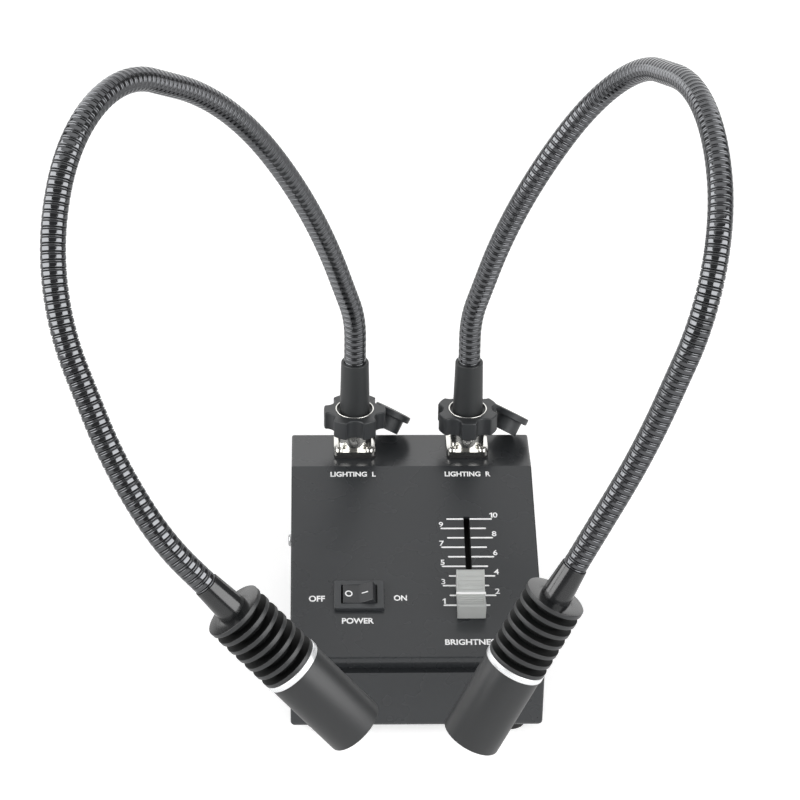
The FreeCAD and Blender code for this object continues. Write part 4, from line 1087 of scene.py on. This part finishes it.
@dataclass
class Screws:
    """Every screw head that shows, with the sizes of the CAD model's screws, mm."""

    head: ScrewHead = field(default_factory=lambda: ScrewHead(2.75, 1.7))
    small: ScrewHead = field(default_factory=lambda: ScrewHead(1.7, 1.1))
    flange_spacing: float = 13.2
    flange_top: float = 71.0
    tab_spacing: float = 80.0
    side_x: float = 52.5
    side_z: float = 28.0
    inlet_spacing: float = 40.0
    inlet_x: float = 20.0
    inlet_y: float = 67.5
    inlet_z: float = 18.4

    def build(self, corners: Tree, line: Tree) -> None:
        """Make the heads on the sockets, the sides and the inlet.

        Args:
            corners: The tree that sets a mesh at the corners of a rectangle.
            line: The tree that repeats a mesh along a line.
        """
        on_sockets, on_sides = [], []
        for side in Side:
            seed = self.small.build(f"Flange_screws_{side.label}", NICKEL)
            four = corners.run(seed, NICKEL, Width=self.flange_spacing * MM,
                               Depth=self.flange_spacing * MM)
            on_sockets.append(moved(four, shift(side.value * SOCKET_X, SOCKET_Y, self.flange_top)))
            pair = line.run(self.head.build(f"Side_screws_{side.label}", ZINC), ZINC, Count=2,
                            Step=(0, self.tab_spacing * MM, 0))
            on_sides.append(moved(pair, shift(
                side.value * self.side_x, -self.tab_spacing / 2, self.side_z)
                @ Matrix.Rotation(side.value * math.pi / 2, 4, "Y")))
        deliver(joined("Flange_screws", on_sockets), "case", "chrome", "flange_screws")
        deliver(joined("Side_screws", on_sides), "case", "zinc_steel", "cover_screws")
        pair = line.run(self.head.build("Inlet_screws", ZINC), ZINC, Count=2,
                        Step=(self.inlet_spacing * MM, 0, 0))
        moved(pair, shift(self.inlet_x - self.inlet_spacing / 2, self.inlet_y, self.inlet_z)
              @ Matrix.Rotation(-math.pi / 2, 4, "X"))
        deliver(pair, "case", "zinc_steel", "inlet_screws")


@dataclass(frozen=True)
class Bend:
    """One bend of an arm: its length in mm, and its turn and heading in degrees."""

    length: float
    turn: float = 0.0
    heading: float = 0.0


@dataclass
class Station:
    """A place on an arm's centre line, with its direction and two directions across it."""

    point: Vector
    along: Vector = field(default_factory=lambda: Vector((0, 0, 1)))
    across: Vector = field(default_factory=lambda: Vector((1, 0, 0)))
    back: Vector = field(default_factory=lambda: Vector((0, 1, 0)))

    def after(self, bend: Bend, part: float) -> "Station":
        """The station part of the way through a bend, mm."""
        if not bend.turn:
            return Station(self.point + self.along * part * MM, self.along, self.across,
                           self.back)
        heading = math.radians(bend.heading)
        way = self.across * math.cos(heading) + self.back * math.sin(heading)
        radius = bend.length / math.radians(bend.turn)
        angle = part / radius
        turn = Matrix.Rotation(angle, 3, self.along.cross(way))
        point = self.point + (self.along * math.sin(angle) + way * (1 - math.cos(angle))) * (
            radius * MM)
        return Station(point, turn @ self.along, turn @ self.across, turn @ self.back)

    def place(self) -> Matrix:
        """A place whose Z runs along the arm."""
        turn = Matrix((self.across, self.back, self.along)).transposed()
        return Matrix.Translation(self.point) @ turn.to_4x4()


ARM_TURNS: dict[Side, tuple[Point, ...]] = {
    Side.LEFT: ((20.5, 217), (14, 213.5), (31, 252.5), (78, 240), (36, 281), (12.4, 283.3),
                (17.4, 248.4)),
    Side.RIGHT: ((17.5, -28.5), (18.5, 22), (68, -90), (49.5, -71), (57.1, -77.5), (7.2, 195.7),
                 (0.1, 200.9)),
}


@dataclass
class Arm:
    """One flexible arm: a ribbed tube on a chain of tangent arcs, in three pieces, mm.

    Each piece spans one joint; they meet in the grooves between ribs halfway between joints.
    """

    side: Side
    crest: float = 4.76
    valley: float = 4.1
    pitch: float = 2.95
    sides: int = 40
    steps: int = 20
    points_per_rib: int = 4
    start_z: float = 103.9
    into_sleeve: float = 20.0
    foot_bend: float = 18.0
    long_bend: float = 72.0
    tip_bend: float = 42.0
    last_bend: float = 24.0
    straight: float = 9.0
    into_neck: float = 9.0
    lean_reach: float = 26.0
    fold_reach: float = 44.0

    def route(self) -> list[Bend]:
        """The whole centre line as straights and bends."""
        first, second, third, fourth, fifth, sixth, seventh = ARM_TURNS[self.side]
        gap = Bend(2 * self.straight)
        return [Bend(self.into_sleeve), Bend(self.foot_bend, *first), gap,
                Bend(self.long_bend, *second), Bend(self.long_bend, *third), gap,
                Bend(self.long_bend, *fourth), Bend(self.long_bend, *fifth), gap,
                Bend(self.tip_bend, *sixth), Bend(self.last_bend, *seventh),
                Bend(self.straight + self.into_neck)]

    def station(self, distance: float) -> Station:
        """The station at a distance from the foot, mm."""
        here = Station(Vector((self.side.value * SOCKET_X, SOCKET_Y, self.start_z)) * MM)
        for bend in self.route():
            part = min(distance, bend.length)
            here = here.after(bend, part)
            distance -= part
            if distance <= 0:
                break
        return here

    def length(self) -> float:
        """Length of the centre line, mm."""
        return sum(bend.length for bend in self.route())

    def build(self, tubes: Tree) -> None:
        """Grow the three pieces of tube, one across each joint, and hide the CAD tubes they
        replace.

        Args:
            tubes: The tree that grows a ribbed tube along a line.
        """
        label = self.side.label
        length = self.length()
        ribs = round(length / self.pitch)
        route = self.route()
        middles = [sum(bend.length for bend in route[:count]) for count in (4, 7)]
        cuts = [0] + [round(middle / length * ribs) for middle in middles] + [ribs]
        spans = (("foot", "arm_lean", self.lean_reach, ("arm_tube_1",)),
                 ("bow", "arm_fold", self.fold_reach, ("arm_tube_2",)),
                 ("drop", "lamp_aim", self.fold_reach, ("arm_tube_3", "arm_tube_4")))
        for (word, joint, reach, nodes), low, high in zip(spans, cuts, cuts[1:]):
            shape = bmesh.new()
            count = (high - low) * self.points_per_rib
            verts = [shape.verts.new(self.station(
                (low + (high - low) * n / count) * length / ribs).point)
                for n in range(count + 1)]
            for before, after in zip(verts, verts[1:]):
                shape.edges.new((before, after))
            path = mesh_of(f"Tube_{word}_{label}", shape, TUBE_PLATE)
            tube = tubes.run(path, TUBE_PLATE, Ribs=high - low, Crest=self.crest * MM,
                             Valley=self.valley * MM, Sides=self.sides, Steps=self.steps)
            self.bend_across(tube, joint_named(f"{joint}_{label}"), reach)
            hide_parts(*[f"{node}_{label}" for node in nodes])
            LOG.info("%s has %d ribs", tube.name, high - low)

    def bend_across(self, tube: bpy.types.Object, joint: dict, reach: float) -> None:
        """Find where a piece of tube passes a joint, and bake the piece's place into its mesh; it
        isn't bent.

        Args:
            tube: The piece.
            joint: The joint, from the record.
            reach: How far the bend runs to either side of the joint, mm.
        """
        centre = Vector(joint["pos_m"])
        distances = [n * 0.5 for n in range(int(self.length() * 2))]
        nearest = min(distances, key=lambda d: (self.station(d).point - centre).length)
        along = self.station(nearest).along * reach * MM
        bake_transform(tube)


@dataclass
class LampHead:
    """One lamp head, turned about the line on which its arm ends, mm."""

    arm: Arm
    neck_mouth: float = 5.1
    neck_foot: float = 6.1
    neck_length: float = 14.8
    neck_bore: float = 4.85
    fin: float = 11.95
    fin_thickness: float = 1.75
    fin_gap: float = 3.12
    fin_edge: float = 0.1
    fins: int = 7
    core: float = 7.0
    ring: float = 12.1
    ring_length: float = 2.45
    barrel: float = 11.7
    barrel_length: float = 35.5
    barrel_wall: float = 1.8
    chip_room: float = 8.0
    lens_depth: float = 2.0
    lens_length: float = 12.0
    lens_foot: float = 4.2
    cup: Point = (2.6, 2.4)
    board: Point = (8.0, 1.6)
    board_gap: float = 2.6
    chip: Point = (3.4, 1.0)

    def cooled_length(self) -> float:
        """Length of the finned part, mm."""
        return self.fins * self.fin_thickness + (self.fins - 1) * self.fin_gap

    def neck_piece(self) -> bpy.types.Object:
        """The plain neck that takes the end of the tube."""
        foot, seat, wire_hole = self.neck_length + 0.5, self.arm.into_neck, 2
        return turned("Neck", filleted([
            (self.neck_bore, seat), (self.neck_bore, 0, 0.1), (self.neck_mouth, 0, 0.12),
            (self.neck_foot, foot), (wire_hole, foot), (wire_hole, seat)]), ANODISED)

    def sink_piece(self, line: Tree) -> bpy.types.Object:
        """The core and its row of thin round fins, with a dead black of painted shade between them.
        """
        low, high = self.neck_length + 0.1, self.neck_length + self.cooled_length()
        core = turned("Core", [(0, low), (self.core, low), (self.core, high), (0, high)], BLASTED)
        one = turned("Fin", filleted([
            (self.core - 0.2, 0), (self.fin, 0, self.fin_edge),
            (self.fin, self.fin_thickness, self.fin_edge),
            (self.core - 0.2, self.fin_thickness)], 3), BLASTED, 96)
        row = line.run(one, BLASTED, Count=self.fins,
                       Step=(0, 0, (self.fin_thickness + self.fin_gap) * MM))
        sink = joined("Heat_sink", [core, moved(row, shift(0, 0, self.neck_length))])
        rims, painted_gaps, rear_face = range(3)
        for finish in (FIN_GAP_SHADE, ANODISED):
            sink.data.materials.append(finish.material())
        for face in sink.data.polygons:
            out = math.hypot(face.center.x, face.center.y)
            if face.center.z < (self.neck_length + self.fin_edge) * MM:
                face.material_index = rear_face
            # The core and the fins' flat flanks take the painted shade.
            elif out < self.core * 1.01 * MM or abs(face.normal.z) > 0.95:
                face.material_index = painted_gaps
            else:
                face.material_index = rims
        return sink

    def ring_piece(self, foot: float) -> bpy.types.Object:
        """The bright ring between the fins and the barrel."""
        top = foot + self.ring_length
        return turned("Ring", filleted([
            (0, foot), (self.ring, foot, 0.3), (self.ring, top, 0.3), (0, top)]),
            BRIGHT_ALUMINIUM, 128)

    def barrel_piece(self, foot: float) -> bpy.types.Object:
        """The plain barrel, open at the lens."""
        top = foot + self.barrel_length
        inner = self.barrel - self.barrel_wall
        seat = top - self.lens_depth - self.lens_length - self.chip_room
        return turned("Barrel", filleted([
            (0, foot), (self.barrel, foot, 0.35), (self.barrel, top, 0.45), (inner, top, 0.3),
            (inner, seat), (0, seat)]), BLASTED, 128)

    def lens_piece(self, face: float) -> bpy.types.Object:
        """The lens: a flared body with a cup over the chip, a rim and a crowned face."""
        foot, radius = face - self.lens_length, self.barrel - self.barrel_wall - 0.1
        wide, deep = self.cup
        return turned("Lens", filleted([
            (0, foot + deep), (wide, foot + deep, 0.3), (wide, foot), (self.lens_foot, foot),
            (radius - 0.6, face - 2.2, 1.5), (radius, face - 1.6), (radius, face - 0.6, 0.2),
            (radius - 1.2, face - 0.6, 0.2), (4, face, 3), (0, face + 0.05)]), LENS_ACRYLIC, 96)

    def board_piece(self, foot: float) -> bpy.types.Object:
        """The round board with its lamp chip."""
        radius, top = self.board[0], foot + self.board[1]
        board = turned("Board", [(0, foot), (radius, foot), (radius, top), (0, top)], BOARD_WHITE)
        size, height = self.chip
        chip = prism("Chip", rounded_box(size, size, 0.3), top - 0.1, top + height, PHOSPHOR, 0.15)
        return joined("Lamp_board", [board, chip])

    def build(self, line: Tree) -> None:
        """Make the head's pieces, put them in place and hand them over.

        Args:
            line: The tree that repeats a mesh along a line.
        """
        label = self.arm.side.label
        place = self.arm.station(self.arm.length() - self.arm.into_neck).place()
        ring_foot = self.neck_length + self.cooled_length()
        barrel_foot = ring_foot + self.ring_length
        lens_face = barrel_foot + self.barrel_length - self.lens_depth
        board_foot = lens_face - self.lens_length - self.board_gap
        pieces = (
            ("Trim_ring", self.ring_piece(ring_foot), "bright_ring", "trim_ring"),
            ("Lens", self.lens_piece(lens_face), "lens", "lens"),
            ("Lamp_board", self.board_piece(board_foot), "lamp_board", "lamp_board"),
            ("Neck", self.neck_piece(), "black_anodised", "head_neck"),
            ("Heat_sink", self.sink_piece(line), "black_anodised", "heat_sink"),
            ("Barrel", self.barrel_piece(barrel_foot), "black_anodised", "lamp_barrel"),
        )
        for name, piece, slot, node in pieces:
            piece.name = f"{name}_{label}"
            deliver(moved(piece, place), f"lamp_{label}", slot, f"{node}_{label}")


@dataclass
class NutRing:
    """The bright ring set in a hand nut, with a black web inside it, mm."""

    side: Side
    radius: float = 8.45
    wall: float = 0.6
    edge: float = 0.2
    web_radius: float = 4.7
    web_drop: float = 1.2

    def build(self) -> None:
        """Make the ring and its web, and put them in the nut."""
        label = self.side.label
        low, high = (corner.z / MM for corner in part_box(f"nut_ring_{label}"))
        inner, top = self.radius - self.wall, high - self.web_drop
        ring = turned("Ring_wall", filleted([
            (inner, low), (self.radius, low), (self.radius, high, self.edge),
            (inner, high, self.edge), (inner, low)]), NICKEL, 96)
        web = turned("Ring_web", [(self.web_radius, low), (inner + 0.1, low),
                                  (inner + 0.1, top), (self.web_radius, top)], ABS_BLACK, 96)
        whole = moved(joined(f"Nut_ring_{label}", [ring, web]),
                      shift(self.side.value * SOCKET_X, SOCKET_Y, 0))
        deliver(whole, f"nut_{label}", "chrome", f"nut_ring_{label}")


class Casework:
    """The CAD pieces that keep their shapes, with their finishes."""

    def build(self) -> None:
        """Dress every CAD node that isn't replaced."""
        sides = {f"{node}_{side.label}": finish for side in Side
                 for node, finish in SIDE_FINISHES.items()}
        for node, finish in {**CAD_FINISHES, **sides}.items():
            redressed(frame["nodes"][node], finish)
            LOG.info("%s is finished in %s", node, finish.name)


class Face(Enum):
    """The outline of a lamp's face, with the share of its rectangle that it fills."""

    RECTANGLE = 1.0
    ELLIPSE = math.pi / 4


@dataclass(frozen=True)
class Softbox:
    """A soft lamp aimed at the object.

    Attributes:
        name: The lamp's name.
        place: Its centre, in metres.
        size: Its width and height, in metres.
        glow: How bright a light its face gives, where white paper is 1.
        shine: How bright its face is in reflections.
        face: Outline of its face.
    """

    name: str
    place: tuple[float, float, float]
    size: Point
    glow: float
    shine: float
    face: Face = Face.RECTANGLE

    def build(self, target: Vector) -> None:
        """Make the lamp and aim it, one part for its light and one for its reflections.

        The second stands 1 cm nearer the target, because a lamp hides what lies in its plane.
        """
        for part, level in (("light", self.glow), ("shine", self.shine)):
            if level == 0:
                continue
            data = bpy.data.lights.new(f"{self.name}, {part}", "AREA")
            data.shape = self.face.name
            data.size, data.size_y = self.size
            data.energy = level * math.pi * (self.size[0] * self.size[1] * self.face.value)
            lamp = linked(data.name, data)
            lamp.location = self.place
            aim = target - lamp.location
            if abs(aim.z) < max(abs(aim.x), abs(aim.y)):
                aim.z = 0
            lamp.rotation_euler = aim.to_track_quat("-Z", "Y").to_euler()
            if part == "shine":
                lamp.location += aim.normalized() * 0.01
            lamp.visible_camera = False
            lamp.visible_glossy = part == "shine"
            lamp.visible_diffuse = part == "light"


@dataclass
class Studio:
    """Floor, soft lamps, surroundings and the camera, in metres.

    The paper is what the camera sees of the floor, and the floor what reflections find. Each
    has a distance from the object and a brightness, near it and far from it.
    """

    floor_size: float = 8.0
    target: tuple[float, float, float] = (0.0, -0.04, 0.14)
    ambient: float = 0.2
    reflected: float = 0.18
    paper_near: Point = (0.5, 0.55)
    paper_far: Point = (1.0, 1.1)
    floor_near: Point = (0.25, 1.0)
    floor_far: Point = (2.5, 0.8)
    lamps: tuple[Softbox, ...] = (
        Softbox("Left softbox", (-0.98, -0.21, 0.66), (1.8, 1.0), 1.9, 4.3, Face.ELLIPSE),
        Softbox("Right softbox", (0.93, -0.755, 0.66), (1.75, 1.0), 2.3, 4.3, Face.ELLIPSE),
        Softbox("Backdrop", (0.0, 1.7, 0.85), (2.6, 1.6), 1.0, 1.35),
        Softbox("Overhead softbox", (0.0, 0.3, 1.7), (3.0, 2.4), 0.0, 0.95),
        Softbox("Front fill", (0.1, -1.9, 1.0), (1.4, 0.8), 7.0, 0.0),
    )
    focal_length: float = 123.5
    camera_place: tuple[float, float, float] = (-0.04135, -0.97993, 0.70288)
    camera_right: tuple[float, float, float] = (0.99954, -0.02678, 0.01418)
    camera_up: tuple[float, float, float] = (0.00141, 0.50858, 0.86102)

    def by_distance(self, tree: bpy.types.NodeTree, near: Point, far: Point
                    ) -> bpy.types.NodeSocket:
        """A brightness that goes from one level to another with the distance."""
        away = add(tree, "ShaderNodeVectorMath", {
            0: add(tree, "ShaderNodeTexCoord").outputs["Object"]}, operation="LENGTH")
        return remapped(tree, away.outputs["Value"], *zip(near, far))

    def floor(self) -> None:
        """Lay a pale floor that reads as white paper and keeps the object's shadow."""
        material = bpy.data.materials.new("White paper sweep")
        material.use_nodes = True
        tree = material.node_tree
        shader = tree.nodes["Principled BSDF"]
        shader.inputs["Base Color"].default_value = linear("E6E6E6")
        shader.inputs["Roughness"].default_value = 0.9
        shader.inputs["Specular IOR Level"].default_value = 0.1
        shader.inputs["Emission Color"].default_value = (1, 1, 1, 1)
        rays = add(tree, "ShaderNodeLightPath").outputs
        shown = add(tree, "ShaderNodeMath", {
            0: rays["Is Camera Ray"], 1: rays["Is Glossy Ray"]}, operation="MAXIMUM")
        shown = add(tree, "ShaderNodeMath", {
            0: shown.outputs[0], 1: rays["Is Transmission Ray"]}, operation="MAXIMUM")
        glow = add(tree, "ShaderNodeMath", {
            0: shown.outputs[0], 1: self.by_distance(tree, self.paper_near, self.paper_far)},
            operation="MULTIPLY")
        tree.links.new(glow.outputs[0], shader.inputs["Emission Strength"])
        lit = add(tree, "ShaderNodeEmission", {
            "Strength": self.by_distance(tree, self.floor_near, self.floor_far)})
        mixed = add(tree, "ShaderNodeMixShader", {
            0: rays["Is Glossy Ray"], 1: shader.outputs["BSDF"], 2: lit.outputs["Emission"]})
        tree.links.new(mixed.outputs["Shader"],
                       tree.nodes["Material Output"].inputs["Surface"])
        half = self.floor_size / 2
        paper = sheet("Floor", [(-half, -half), (half, -half), (half, half), (-half, half)], INK)
        paper.data.materials[0] = material

    def surroundings(self) -> None:
        """Light the object evenly from all round, and show white behind it."""
        world = bpy.data.worlds.new("Studio")
        bpy.context.scene.world = world
        world.use_nodes = True
        tree = world.node_tree
        rays = add(tree, "ShaderNodeLightPath").outputs
        unseen = remapped(tree, rays["Is Glossy Ray"], (0, 1), (self.ambient, self.reflected))
        strength = remapped(tree, rays["Is Camera Ray"], (0, 1), (unseen, 1.0))
        background = tree.nodes["Background"]
        background.inputs["Color"].default_value = (1, 1, 1, 1)
        tree.links.new(strength, background.inputs["Strength"])

    def camera(self) -> None:
        """Set the camera where the photograph was taken from."""
        right, up = Vector(self.camera_right), Vector(self.camera_up)
        turn = Matrix((right, up, right.cross(up))).transposed().to_4x4()
        data = bpy.data.cameras.new("Camera")
        data.lens = self.focal_length
        data.clip_start = 0.05
        obj = linked("Camera", data)
        obj.matrix_world = Matrix.Translation(self.camera_place) @ turn
        bpy.context.scene.camera = obj

    def build(self) -> None:
        """Set up the studio."""
        self.floor()
        self.surroundings()
        for lamp in self.lamps:
            lamp.build(Vector(self.target))
        self.camera()
        bpy.context.scene.view_settings.view_transform = "Standard"


def main() -> None:
    """Build every sub-assembly in order."""
    logging.basicConfig(level=logging.INFO, format="%(name)s: %(message)s")
    Studio().build()
    line, corners, tubes = line_tree(), corner_tree(), tube_tree()
    Casework().build()
    panel = Panel()
    PanelPrint(panel).build(line)
    DimmerCap(panel).build()
    Rocker(panel).build()
    Screws().build(corners, line)
    for side in Side:
        NutRing(side).build()
        arm = Arm(side)
        arm.build(tubes)
        LampHead(arm).build(line)


if __name__ == "__main__":
    main()
